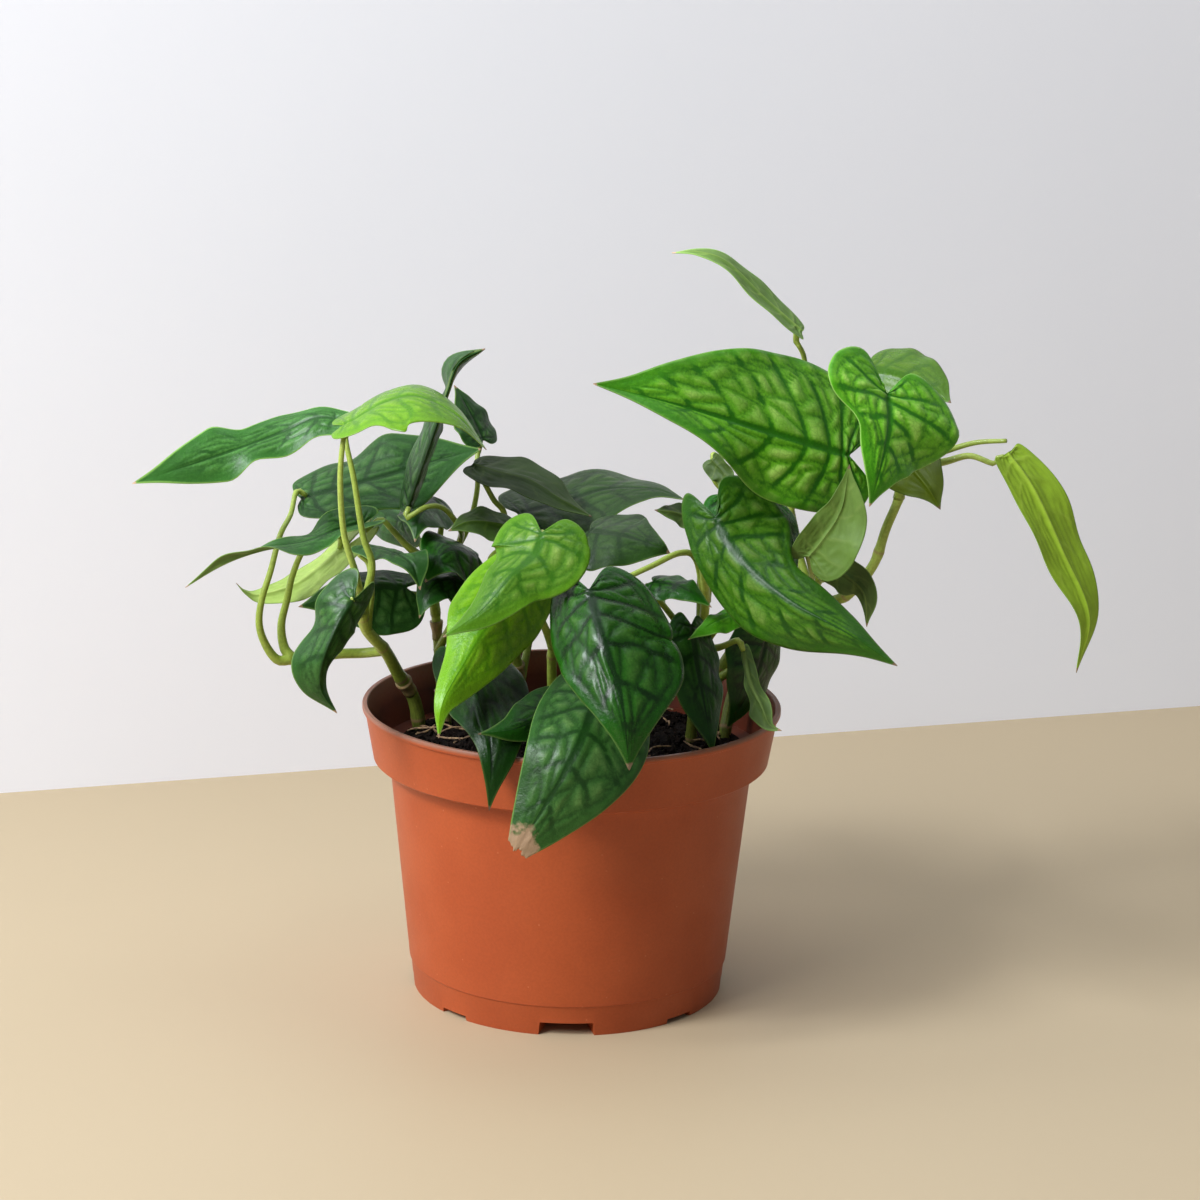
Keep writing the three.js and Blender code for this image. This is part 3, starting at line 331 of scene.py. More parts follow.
# Shoots, from the soil up, with the petioles that leave them
shoots = {
    "shoot_left": {
        "thick": 1.3, "sleeves": [0.28],
        "stem": [(-56, 22, 93), (-58, 18, 101), (-63, 10, 112), (-67, 0, 123), (-73, -12, 134),
                 (-74, -20, 144)],
        "runner": [(-67, 0, 123), (-75, 4, 121), (-84, 2, 121), (-93, 0, 120), (-100, -2, 120)],
        "petioles": {
            "leaf_01": [(-74, -17, 141), (-71, -24, 153), (-70, -25, 161), (-73, -26, 171), (-76, -26, 190),
                        (-79, -23, 203)],
            "leaf_02": [(-74, -20, 144), (-74, -40, 159), (-78, -44, 175), (-79, -47, 194), (-78, -46, 208)],
            "leaf_04": [(-100, -2, 120), (-105, -4, 120), (-109, -6, 126), (-111, -8, 134), (-110, -8, 143),
                        (-107, -6, 153), (-104, -2, 165), (-101, 6, 171)],
            "leaf_06": [(-100, -2, 120), (-103, -1, 124), (-104, 0, 132), (-102, 1, 141), (-100, 2, 150),
                        (-96, 3, 159), (-89, 6, 165), (-85, 12, 162)],
            "leaf_07": [(-74, -17, 141), (-76, -42, 149)],
            "leaf_08": [(-73, -12, 134), (-71, -14, 148), (-72, -11, 157)],
        },
    },
    "shoot_left_back": {
        "sleeves": [0.2, 0.55],
        "stem": [(-46, 24, 92), (-48, 22, 104), (-49, 21, 118), (-50, 20, 132), (-51, 18, 144), (-54, 12, 154)],
        "petioles": {
            "leaf_05": [(-54, 12, 154), (-60, 8, 160), (-65, 6, 166), (-69, 4, 170)],
            "leaf_09": [(-50, 20, 132), (-52, 16, 139)],
            "leaf_11": [(-51, 18, 144), (-49, 22, 158), (-48, 25, 170)],
            "leaf_03": [(-51, 18, 144), (-44, 18, 154), (-41, 16, 161), (-41, 6, 167), (-46, 0, 175),
                        (-52, -6, 177)],
            "leaf_37": [(-51, 18, 144), (-40, 28, 160), (-36, 34, 174), (-36, 38, 186)],
            "leaf_38": [(-49, 21, 118), (-42, 8, 136)],
            "leaf_43": [(-48, 22, 104), (-38, 28, 121)],
            "leaf_41": [(-50, 20, 132), (-55, 38, 149)],
        },
    },
    "shoot_middle": {
        "sleeves": [0.35],
        "stem": [(-16, 30, 91), (-19, 26, 106), (-22, 18, 123), (-26, 10, 140), (-28, 6, 152)],
        "petioles": {
            "leaf_13": [(-28, 6, 152), (-25, 6, 171), (-29, 4, 178), (-34, 2, 187)],
            "leaf_14": [(-28, 6, 152), (-24, 6, 163)],
            "leaf_12": [(-26, 10, 140), (-30, 2, 156)],
            "leaf_10": [(-22, 18, 123), (-29, 8, 148)],
            "leaf_15": [(-22, 18, 123), (-5, 0, 148), (2, -16, 161)],
            "leaf_42": [(-19, 26, 106), (-11, 36, 142)],
            "leaf_44": [(-16, 30, 91), (6, 34, 112)],
        },
    },
    "shoot_front": {
        "stem": [(-5, 0, 93), (-6, -3, 103), (-7, -12, 113), (-7, -24, 132), (-4, -34, 150)],
        "petioles": {
            "leaf_17": [(-4, -34, 150), (-5, -42, 166)],
            "leaf_40": [(-7, -24, 132), (-13, -34, 149)],
            "leaf_29": [(-6, -3, 103), (-28, -30, 120)],
            "leaf_30": [(-7, -12, 113), (-4, -34, 118)],
            "leaf_31": [(-6, -3, 103), (4, -44, 125)],
        },
    },
    "shoot_right_front": {
        "stem": [(43, 4, 92), (44, 0, 107), (45, -8, 127), (46, -20, 148), (44, -34, 166)],
        "petioles": {
            "leaf_19": [(44, -34, 166), (44, -40, 177)],
            "leaf_18": [(46, -20, 148), (42, -30, 165), (36, -38, 169), (26, -46, 166), (14, -54, 162)],
            "leaf_20": [(46, -20, 148), (49, -22, 170)],
            "leaf_34": [(45, -8, 127), (27, -22, 152)],
            "leaf_32": [(44, 0, 107), (41, -16, 129)],
            "leaf_33": [(45, -8, 127), (51, -24, 140)],
            "leaf_16": [(45, -8, 127), (45, 6, 149)],
            "leaf_35": [(45, -8, 127), (52, -14, 130)],
        },
    },
    "shoot_right": {
        "thick": 1.1, "sleeves": [0.3],
        "stem": [(48, 32, 92), (52, 30, 105), (63, 24, 126), (73, 14, 139), (84, 4, 147), (87, -4, 155),
                 (90, -14, 176), (90, -22, 189)],
        "petioles": {
            "leaf_21": [(90, -14, 176), (93, -26, 193)],
            "leaf_24": [(84, 4, 147), (82, -30, 160)],
            "leaf_25": [(87, -4, 155), (86, -30, 159)],
            "leaf_27": [(84, 4, 147), (79, 10, 164), (77, 8, 174), (79, 2, 202), (79, -8, 221),
                        (78, -14, 233), (75, -18, 239)],
            "leaf_28": [(79, 10, 164), (58, 4, 179), (49, 0, 187)],
            "leaf_46": [(79, 10, 164), (75, 12, 185)],
            "leaf_47": [(90, -14, 176), (89, 4, 194)],
            "leaf_45": [(63, 24, 126), (64, 26, 136)],
            "leaf_36": [(52, 30, 105), (66, 12, 122)],
        },
    },
    "shoot_far_right": {
        "thick": 1.1,
        "stem": [(56, 16, 93), (60, 20, 107), (72, 15, 127), (82, -2, 142), (95, -14, 149), (104, -18, 161),
                 (108, -20, 175), (112, -20, 186), (114, -20, 197)],
        "petioles": {
            "leaf_39": [(112, -20, 186), (112, -24, 196)],
            "leaf_22": [(114, -20, 197), (112, -24, 208), (107, -38, 219)],
            "leaf_23": [(114, -20, 197), (110, -12, 212)],
            "leaf_26": [(114, -20, 197), (126, -22, 199), (135, -25, 202), (143, -28, 200)],
        },
        "tendril": [(114, -20, 197), (126, -20, 202), (137, -22, 206), (147, -28, 208)],
    },
}


# Materials


class Look:
    # One Principled material, with short names for the nodes that its colour is made of
    def __init__(self, name, **sockets):
        self.material = bpy.data.materials.new(name)
        self.material.use_nodes = True
        self.tree = self.material.node_tree
        self.shader = self.tree.nodes["Principled BSDF"]
        for key, value in sockets.items():
            self.shader.inputs[key.replace("_", " ")].default_value = value

    def addNode(self, kind, inputs=None, output=0, **settings):
        node = self.tree.nodes.new("ShaderNode" + kind)
        for key, value in settings.items():
            setattr(node, key, value)
        for key, value in (inputs or {}).items():
            if isinstance(value, bpy.types.NodeSocket):
                self.tree.links.new(value, node.inputs[key])
            else:
                node.inputs[key].default_value = value
        return node.outputs[output]

    def link(self, value, socket):
        self.tree.links.new(value, self.shader.inputs[socket])

    def noise(self, sizeMm, detail=3.0, rough=0.6):
        place = self.addNode("TexCoord", output="Object")
        return self.addNode("TexNoise", {"Vector": place, "Scale": 1000 / sizeMm, "Detail": detail,
                                         "Roughness": rough}, "Fac")

    def cells(self, sizeMm, **settings):
        place = self.addNode("TexCoord", output="Object")
        return self.addNode("TexVoronoi", {"Vector": place, "Scale": 1000 / sizeMm}, "Distance", **settings)

    def value(self, name, output="Fac"):
        return self.addNode("Attribute", output=output, attribute_name=name)

    def spread(self, value, low, high, toLow=0.0, toHigh=1.0):
        return self.addNode("MapRange", {0: value, 1: low, 2: high, 3: toLow, 4: toHigh},
                            interpolation_type="SMOOTHSTEP")

    def mix(self, factor, first, second, how="MIX"):
        return self.addNode("Mix", {0: factor, 6: first, 7: second}, 2, data_type="RGBA", blend_type=how)

    def vary(self, colour, value, low, high):
        return self.mix(1.0, colour, self.spread(value, 0.3, 0.7, low, high), "MULTIPLY")

    def math(self, first, second, how="MULTIPLY"):
        return self.addNode("Math", {0: first, 1: second}, operation=how)

    def bump(self, height, strength, depthMm):
        inputs = {"Height": height, "Strength": strength, "Distance": depthMm * mm}
        self.link(self.addNode("Bump", inputs), "Normal")


# Leaf tones: over the veins, between them, on the island centres, and at the margin; the island centres
# # are silvery where air lies under the skin and lightened further as painted sheen; relief is how far
# # the islands between the veins bulge, mm
leafTones = {
    "silver": {"vein": "#235f09", "island": "#5c9a1e", "silverAndPaintedSheen": "#a3c860", "margin": "#37780b",
               "silvery": 0.85, "rough": 0.36, "relief": 0.85},
    "gloss": {"vein": "#0f3a07", "island": "#2f6e18", "silverAndPaintedSheen": "#68a041", "margin": "#23700b",
              "silvery": 0.7, "rough": 0.27, "relief": 0.85, "coat": 0.22},
    "deep": {"vein": "#0f3308", "island": "#2b5c16", "silverAndPaintedSheen": "#568834", "margin": "#1f5f0c",
             "silvery": 0.6, "rough": 0.34, "relief": 0.6},
    "dusk": {"vein": "#183a11", "island": "#335c25", "silverAndPaintedSheen": "#6b904c", "margin": "#26501b",
             "silvery": 0.65, "rough": 0.38, "relief": 0.62},
    "slate": {"vein": "#1b3610", "island": "#2f4e1b", "silverAndPaintedSheen": "#557035", "margin": "#284816",
              "silvery": 0.45, "rough": 0.42, "relief": 0.5},
    "fresh": {"vein": "#2f6a0d", "island": "#4f8a1b", "silverAndPaintedSheen": "#7fac42", "margin": "#438a11",
              "silvery": 0.5, "rough": 0.38, "relief": 0.5},
    "lime": {"vein": "#3f7a14", "island": "#689c2e", "silverAndPaintedSheen": "#b3d06b", "margin": "#639e17",
             "silvery": 0.9, "rough": 0.34, "relief": 0.5},
    "bright": {"vein": "#528c0e", "island": "#70a616", "silverAndPaintedSheen": "#a8d04b", "margin": "#70a80e",
               "silvery": 0.4, "rough": 0.3, "relief": 0.35},
}
underTones = {
    "dull": {"plain": "#4c662e", "vein": "#6d843f", "rough": 0.55},
    "moss": {"plain": "#3f5f17", "vein": "#577522", "rough": 0.5},
    "grass": {"plain": "#4f8a14", "vein": "#73a62b", "rough": 0.45},
    "pale": {"plain": "#84ad49", "vein": "#9fc25e", "rough": 0.55},
    "cream": {"plain": "#acc963", "vein": "#c3db78", "rough": 0.55},
    "olive": {"plain": "#6f8a0a", "vein": "#84a018", "rough": 0.5},
    "lime": {"plain": "#8fb22d", "vein": "#a7c644", "rough": 0.5},
}
leafLook = {"cloudMm": 24.0, "blotchMm": 5.0, "wrinkleMm": 1.1, "cellMm": 2.6, "grainMm": 0.4, "bumpMm": 0.4,
            "ior": 1.45, "edge": "#86ac55", "dry": "#a08468"}


def ageLeaf(look, colour):
    # Each leaf's colour is multiplied by its own factor: painted shade on leaves in shadow, painted light on
    # leaves
    #     # turned from the lamps, with a little depth of colour of its own; the margin is a pale line and dry
    #     tissue is brown
    edge = look.spread(look.value("marginMm"), 0.08, 0.4, 0.4, 0.0)
    colour = look.mix(edge, colour, linear(leafLook["edge"]))
    patchy = look.spread(look.noise(leafLook["blotchMm"]), 0.3, 0.7, -0.18, 0.18)
    dry = look.spread(look.math(look.value("dry"), patchy, "ADD"), 0.3, 0.55)
    dry = look.math(dry, look.spread(look.value("dry"), 0.0, 0.2), "MINIMUM")
    colour = look.mix(look.math(dry, 0.95), colour, linear(leafLook["dry"]))
    # The leaf's factor: painted shade and painted light, with a little depth of colour of its own
    look.link(look.mix(1.0, colour, look.value("shade"), "MULTIPLY"), "Base Color")


def upperLeaf(name, tone):
    # Leaf cuticle over dark veins: satin, soft window glints; silvery where air lies under it, plus painted
    # sheen
    look = Look(name + "LeafUpper", IOR=leafLook["ior"], Specular_IOR_Level=0.22,
                Coat_Weight=tone.get("coat", 0.1), Coat_Roughness=0.24)
    cells = look.cells(leafLook["cellMm"], feature="DISTANCE_TO_EDGE")
    cloud, spot = look.noise(leafLook["cloudMm"]), look.noise(leafLook["blotchMm"], 4.0)
    wrinkle, grain = look.noise(leafLook["wrinkleMm"], 4.0), look.noise(leafLook["grainMm"], 2.0)
    ragged = look.math(look.spread(wrinkle, 0.25, 0.75, -0.12, 0.12), look.value("net"), "ADD")
    vein = look.spread(ragged, 0.04, 0.62)
    colour = look.mix(vein, linear(tone["island"]), linear(tone["vein"]))
    # The island centres go pale: the leaf's silvery patches, with painted sheen over them
    silver = look.math(look.spread(look.value("pillow"), 0.3, 0.95), look.spread(spot, 0.32, 0.68, 0.35, 1.0))
    silver = look.math(silver, look.spread(cloud, 0.35, 0.65, 0.5, 1.0))
    colour = look.mix(look.math(silver, tone["silvery"]), colour, linear(tone["silverAndPaintedSheen"]))
    colour = look.mix(look.spread(cells, 0.0, 0.14, 0.22, 0.0), colour, linear(tone["vein"]))
    colour = look.mix(look.spread(look.value("marginMm"), 0.8, 3.6, 0.8, 0.0), colour, linear(tone["margin"]))
    # Yellow-green near the rib and the base: painted light shining through the leaf
    paintedGlow = look.math(look.value("paintedGlowNearRib"), look.math(1.0, vein, "SUBTRACT"))
    colour = look.mix(look.math(paintedGlow, 0.45), colour, linear(tone["margin"]))
    colour = look.vary(look.vary(colour, cloud, 0.84, 1.14), grain, 0.9, 1.08)
    ageLeaf(look, colour)
    look.link(look.spread(spot, 0.3, 0.7, tone["rough"] - 0.05, tone["rough"] + 0.09), "Roughness")
    height = look.math(grain, look.math(wrinkle, 2.0), "ADD")
    look.bump(look.math(height, look.spread(cells, 0.0, 0.3, 0.0, 0.6), "ADD"), 0.2, leafLook["bumpMm"])
    return look.material


def underLeaf(name, tone):
    # The underside: matt and paler, with its veins raised and a little lighter
    look = Look(name + "LeafUnder", IOR=leafLook["ior"], Roughness=tone["rough"], Specular_IOR_Level=0.3)
    vein = look.math(look.spread(look.value("net"), 0.3, 1.0), 0.7)
    colour = look.mix(vein, linear(tone["plain"]), linear(tone["vein"]))
    ageLeaf(look, look.vary(colour, look.noise(leafLook["blotchMm"], 4.0), 0.9, 1.08))
    look.bump(look.noise(leafLook["grainMm"], 2.0), 0.15, leafLook["bumpMm"])
    return look.material


stemLook = {"young": "#a9bd55", "green": "#8a9f3c", "old": "#5d6428", "dry": "#9c7f5c", "spotMm": 1.1}


def stemSkin():
    # Green stem skin: lengthwise streaks, olive where the stem is old, papery where a sheath has dried
    look = Look("stemSkin", IOR=1.42, Roughness=0.4, Coat_Weight=0.15)
    young, green, old, dry = (linear(stemLook[key]) for key in ("young", "green", "old", "dry"))
    age, along = look.value("age"), look.value("streak", "Vector")
    streak = look.addNode("TexNoise", {"Vector": along, "Scale": 5.0, "Detail": 3.0}, "Fac")
    colour = look.mix(look.spread(age, 0.0, 0.45), young, green)
    colour = look.mix(look.spread(age, 0.4, 1.0), colour, old)
    colour = look.mix(look.math(look.spread(streak, 0.45, 0.72), 0.6), colour, green)
    papery = look.math(look.spread(streak, 0.3, 0.6, 0.6, 1.0), look.spread(look.value("dry"), 0.2, 0.8))
    colour = look.mix(papery, colour, dry)
    look.link(look.vary(colour, look.noise(stemLook["spotMm"], 4.0), 0.84, 1.1), "Base Color")
    look.bump(streak, 0.3, 0.4)
    return look.material


# The dark brown for the inner wall is painted shade inside the pot
potLook = {"body": "#ab4e25", "worn": "#a0451d", "rim": "#86604c", "paintedInnerShade": "#47211a", "pit": "#d3875f",
           "speckMm": 0.9, "cloudMm": 30.0, "pitMm": 5.88}


def potPlastic():
    # Moulded polypropylene: satin, faintly clouded, with dust and grazes on the lip; the inner wall dark brown
    # as painted shade
    look = Look("terracottaPolypropylene", IOR=1.49, Specular_IOR_Level=0.4)
    body, worn, rim, paintedInnerShade, pitted = (linear(potLook[key]) for key in ("body", "worn", "rim", "paintedInnerShade", "pit"))
    cloud, speck = look.noise(potLook["cloudMm"], 3.0, 0.5), look.noise(potLook["speckMm"], 2.0, 0.5)
    colour = look.mix(look.math(look.spread(cloud, 0.35, 0.7), 0.55), body, worn)
    colour = look.vary(colour, speck, 0.95, 1.04)
    colour = look.mix(look.spread(look.cells(potLook["pitMm"]), 0.07, 0.03, 0.0, 0.35), colour, pitted)
    # The inner wall goes dark brown in cloudy patches: painted shade inside the pot
    innerShadeMask = look.math(look.value("inside"), look.spread(cloud, 0.3, 0.7, 0.7, 1.0))
    graze = look.math(look.value("lip"), look.spread(speck, 0.2, 0.75, 0.6, 1.0))
    look.link(look.mix(graze, look.mix(innerShadeMask, colour, paintedInnerShade), rim), "Base Color")
    look.link(look.spread(cloud, 0.3, 0.75, 0.42, 0.52), "Roughness")
    look.bump(speck, 0.06, 0.5)
    return look.material


# The peat and crumb colours are made nearly black: painted shade under the leaves
soilLook = {"peatWithPaintedShade": "#110c09", "crumb": "#231913", "fibre": "#a88a63", "chip": "#6b5442", "crumbMm": 2.2,
            "bitMm": 2.38, "fibreMm": 1.43}


def peatSoil():
    # Damp peat with bark fines: matt, with browner crumbs; both darkened to nearly black as painted shade under
    # the leaves
    look = Look("dampPeat", IOR=1.4, Roughness=0.85, Specular_IOR_Level=0.15)
    crumb = look.noise(soilLook["crumbMm"], 6.0, 0.7)
    colour = look.mix(look.spread(crumb, 0.42, 0.68), linear(soilLook["peatWithPaintedShade"]), linear(soilLook["crumb"]))
    bits = look.spread(look.cells(soilLook["bitMm"]), 0.1, 0.05)
    look.link(look.mix(bits, colour, linear(soilLook["chip"])), "Base Color")
    look.bump(crumb, 0.7, 1.2)
    return look.material


def dryBits():
    # Dry wood and straw left in the mix: pale, fibrous and dusty
    look = Look("dryStraw", IOR=1.4, Roughness=0.75)
    grain = look.noise(soilLook["fibreMm"], 4.0, 0.5)
    look.link(look.mix(look.spread(grain, 0.35, 0.68), linear(soilLook["chip"]), linear(soilLook["fibre"])),
              "Base Color")
    look.bump(grain, 0.5, 0.6)
    return look.material


upperMaterials = {name: upperLeaf(name, tone) for name, tone in leafTones.items()}
underMaterials = {name: underLeaf(name, tone) for name, tone in underTones.items()}
stemMaterial, potMaterial, soilMaterial, strawMaterial = stemSkin(), potPlastic(), peatSoil(), dryBits()
print("materials made")


# Meshes


class Skin:
    # Points, faces and point values, gathered from several sweeps or crumbs into one mesh
    def __init__(self):
        self.points, self.faces, self.values = [], [], {}

    def add(self, points, faces, values=None):
        start = len(self.points)
        self.points.extend(points)
        self.faces.extend(tuple(i + start for i in face) for face in faces)
        for key, value in (values or {}).items():
            self.values.setdefault(key, []).extend(value)


def addPiece(name, skin, node, materials, faceMaterial=None, smooth=None):
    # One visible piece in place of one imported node; its points are in mm from the pot's foot
    mesh = bpy.data.meshes.new(name)
    points = np.array([tuple(map(float, p)) for p in skin.points]) * mm + np.array(potFoot)
    mesh.from_pydata(points.tolist(), [], skin.faces)
    for key, values in skin.values.items():
        values = np.asarray(values, np.float32)
        kind, field = ("FLOAT_VECTOR", "vector") if values.ndim == 2 else ("FLOAT", "value")
        mesh.attributes.new(key, kind, "POINT").data.foreach_set(field, values.ravel())
    for material in materials:
        mesh.materials.append(material)
    mesh.polygons.foreach_set("use_smooth", [True] * len(mesh.polygons) if smooth is None else smooth)
    if faceMaterial is not None:
        mesh.polygons.foreach_set("material_index", faceMaterial)
    mesh.update()
    piece = bpy.data.objects.new(name, mesh)
    scene.collection.objects.link(piece)
    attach(piece, "root")
    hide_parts(node)
    return piece


leafMesh = {"rowsPerVein": 8, "columns": 24, "thickMm": 0.5, "slimMm": 1.6, "fadeMm": 2.5, "sinkMm": 0.3,
            "ridgeMm": 0.35, "netMm": 0.14, "dryTipMm": 2.2, "youngUnder": ("lime", "bright")}
veinForm = {"firstAt": 0.1, "mmPerVein": 17, "collect": 0.84, "wideShare": 0.13, "wideMm": (0.3, 0.9),
            "ribMm": 2.0, "ribTaper": 1.3, "crossRows": 4, "pillowReach": 2.4}


def bell(distance, width):
    return np.exp(-(distance / width) ** 2)


def veinFields(points, half, t, u, veinCount, rng):
    # How close each point is to a vein, how far a pillow rises there, and millimetres to the rib and margin
    a, first = np.abs(u), veinForm["firstAt"]
    k = np.where(t > first, (t - first) / (1 - first) * veinCount, (t - first) / 0.05)
    phase = rng.uniform(0, 2 * math.pi, 8)
    sway = (np.sin(1.9 * k + 5.1 * u + phase[0]) + np.sin(3.7 * k - 7.3 * u + phase[1])
            + 0.6 * np.sin(6.1 * k + 11 * u + phase[2])) / 2.6
    swayAcross = (np.sin(4.3 * k + 6.1 * u + phase[3]) + np.sin(2.3 * k - 9.7 * u + phase[4])) / 2
    step = np.linalg.norm(np.gradient(points, axis=0), axis=-1)
    step = step / np.maximum(np.abs(np.gradient(k, axis=0)), 1e-6)
    warped = k + 0.1 * sway * np.minimum(a * 3, 1)
    cell = np.floor(warped).astype(int)
    within = warped - cell
    rib = a * half
    lateral = np.minimum(within, 1 - within) * step
    collect = np.abs(a - veinForm["collect"] + 0.03 * np.cos(2 * np.pi * within)) * half
    slots = rng.uniform(-0.5, 0.5, (veinCount + 6, 2, 6))
    lean = rng.uniform(-0.22, 0.22, (veinCount + 6, 2, 6))
    cells, sides = np.clip(cell, -3, veinCount + 2) + 3, (u > 0).astype(int)
    # Cross veins between two side veins, and one fork near the rib
    cross = np.abs(within - 0.5 - slots[cells, sides, 0] * 0.3) * step + np.maximum(0.5 - a, 0) * half
    for j in range(1, veinForm["crossRows"]):
        centre = (j + 0.7 * slots[cells, sides, j]) / veinForm["crossRows"]
        away = np.abs(a - centre + lean[cells, sides, j] * (within - 0.5) * 2 + 0.025 * swayAcross)
        cross = np.minimum(cross, away * half)
    cross = np.minimum(cross, 9.0)
    wide = np.clip(step * veinForm["wideShare"], *veinForm["wideMm"])
    outer = 1 - 0.55 * np.clip((a - veinForm["collect"]) / 0.16, 0, 1)
    ribWide = (veinForm["ribMm"] - veinForm["ribTaper"] * np.clip(t, 0, 1)) * np.clip(half / 14, 0.3, 1)
    net = np.maximum.reduce([bell(rib, ribWide), 0.85 * outer * bell(lateral, wide),
                             0.44 * outer * bell(cross, 0.75 * wide), 0.48 * bell(collect, 0.9 * wide)])
    nearest = np.minimum.reduce([rib, lateral, cross * 1.3 + 0.25, collect * 1.2 + 0.2])
    return net, 1 - bell(nearest, veinForm["pillowReach"] * wide), rib, half * (1 - a)


def rowPlaces(blade, veinCount, us, end):
    # Rows follow the side veins; a torn leaf stops at one place along its rib
    first = veinForm["firstAt"]
    rows = np.arange(-0.07, 0.9, 1 / (veinCount * leafMesh["rowsPerVein"]))
    ts = np.concatenate([[0.015], first + (1 - first) * rows[rows > -0.07], np.linspace(0.915, 0.998, 9)])
    ts = np.unique(np.round(ts[ts > 0.014], 5))
    t = np.repeat(ts[:, None], len(us), 1)
    if end < 1:
        fine = np.linspace(0, 1, 600)
        form = catmull(blade.form, fine)
        stop = catmull(blade.form, np.array([end]))[0, 0]
        for j, u in enumerate(us):
            along = form[:, 2] + (form[:, 0] - form[:, 2]) * abs(u) ** 1.5
            tear = stop + 0.01 * math.sin(5 * u) + 0.004 * math.sin(17 * u + 1)
            t[:, j] *= np.interp(tear, along[200:], fine[200:])
    return t


def makeLeaf(name, leaf, index):
    rng = np.random.default_rng(700 + index)
    blade = Blade(leaf)
    tone, length = leaf["tone"], blade.rib.length
    veinCount = int(round(3.5 + length / veinForm["mmPerVein"]))
    us = np.linspace(-1, 1, 2 * leafMesh["columns"] + 1)
    t = rowPlaces(blade, veinCount, us, leaf.get("end", 1.0))
    u = np.broadcast_to(us[None], t.shape)
    points, normal, half = blade.grid(t, us)
    net, pillow, rib, edge = veinFields(points, half, t, u, veinCount, rng)
    fade = np.clip(edge / leafMesh["fadeMm"], 0, 1)
    size = leafTones[tone]["relief"] * min(1.0, length / 55)
    lift = (size * pillow - leafMesh["sinkMm"] * bell(rib, 0.9)) * fade
    slim = np.clip(edge / leafMesh["slimMm"], 0.45, 1) * leafMesh["thickMm"] / 2
    ridge = (leafMesh["ridgeMm"] * bell(rib, 0.7) + leafMesh["netMm"] * net) * fade
    upper = points + normal * (lift + slim)[..., None]
    under = points + normal * (lift - slim - ridge)[..., None]
    # Two faces of quads and a wall round the margin
    corner = np.arange(t.size).reshape(t.shape)
    a, b = corner[:-1, :-1].ravel(), corner[:-1, 1:].ravel()
    c, d = corner[1:, 1:].ravel(), corner[1:, :-1].ravel()
    ring = np.concatenate([corner[0, :-1], corner[:-1, -1], corner[-1, :0:-1], corner[:0:-1, 0]])
    after = np.roll(ring, -1)
    top, bottom = np.stack([a, b, c, d], 1), np.stack([a, d, c, b], 1) + t.size
    wall = np.stack([after, ring, ring + t.size, after + t.size], 1)
    tipAway = np.linalg.norm(points - points[-1, leafMesh["columns"]], axis=-1)
    values = {"net": net, "pillow": pillow, "marginMm": edge,
              # Strongest near the rib and the base: painted light shining through the leaf
              "paintedGlowNearRib": np.exp(-rib / 10) * np.clip(1.1 - t, 0, 1),
              "dry": np.clip(1 - tipAway / leaf.get("dryMm", leafMesh["dryTipMm"]), 0, 1),
              # Painted shade below 1 and painted light above 1, times a little random depth of colour
              "shade": np.full(t.shape, leaf.get("shade", 1.0) * rng.uniform(0.95, 1.05))}
    skin = Skin()
    skin.add(np.concatenate([upper.reshape(-1, 3), under.reshape(-1, 3)]),
             np.concatenate([top, bottom, wall]).tolist(),
             {key: np.tile(value.ravel(), 2) for key, value in values.items()})
    underName = leaf.get("under", "lime" if tone in leafMesh["youngUnder"] else "dull")
    facing = [0] * len(top) + [1] * (len(bottom) + len(wall))
    addPiece(name + "_blade", skin, name,
             (upperMaterials[tone], underMaterials[underName]), facing)


youngLeaves = [entry["node"] for entry in frame["record"]["subparts"] if entry["material_slot"] == "young_leaf"]
for index, (name, leaf) in enumerate(leaves.items()):
    makeLeaf(name, leaf, index)
print("leaves made:", len(leaves))

stemForm = {"stemR": 1.95, "footR": 1.4, "tipR": 0.85, "tendrilR": 1.25, "sides": 14, "ringMm": 1.5,
            "holeDepth": 11, "nodeGap": 21.0, "sleeveMm": 7.0, "streakMm": 30}


def sweep(path, radius, age=lambda s: 0.0, dry=lambda s: 0.0):
    # A round skin along a path, closed at both ends
    rib = Rib(path)
    n, count = stemForm["sides"], max(6, int(rib.length / stemForm["ringMm"]))
    s = np.linspace(0, 1, count + 1)
    centre, tangent = rib.at(s)
    side = np.array([1.0, 0.0, 0.0])
    points, streak = [], []
    for i in range(count + 1):
        if abs(side @ tangent[i]) > 0.95:
            side = np.array([0.0, 1.0, 0.0])
        side = unit(side - (side @ tangent[i]) * tangent[i])
        other = np.cross(tangent[i], side)
        r = radius(s[i], rib.length)
        for j in range(n):
            angle = 2 * math.pi * j / n
            points.append(centre[i] + r * (math.cos(angle) * side + math.sin(angle) * other))
            streak.append((math.cos(angle), math.sin(angle), s[i] * rib.length / stemForm["streakMm"]))
    faces = [(i * n + j, i * n + (j + 1) % n, (i + 1) * n + (j + 1) % n, (i + 1) * n + j)
             for i in range(count) for j in range(n)]
    faces += [tuple(range(n - 1, -1, -1)), tuple(range(count * n, count * n + n))]
    ages, dries = (np.repeat([value(at) for at in s], n) for value in (age, dry))
    return points, faces, {"streak": streak, "age": ages, "dry": dries}


def petioleTip(leaf, cameFrom):
    # The petiole runs into the blade at the sinus, on the face it comes from
    blade = Blade(leaf)
    normal = blade.grid(np.array([0.0]), np.array([0.0]))[1][0, 0]
    at, tangent = blade.rib.at(np.array(0.03))
    side = 1.0 if (np.array(cameFrom) - at) @ normal > 0 else -1.0
    drop = side * stemForm["tipR"] * 0.9
    return [tuple(at + normal * (drop + side * 2.8) - tangent * 3), tuple(at + normal * drop)]


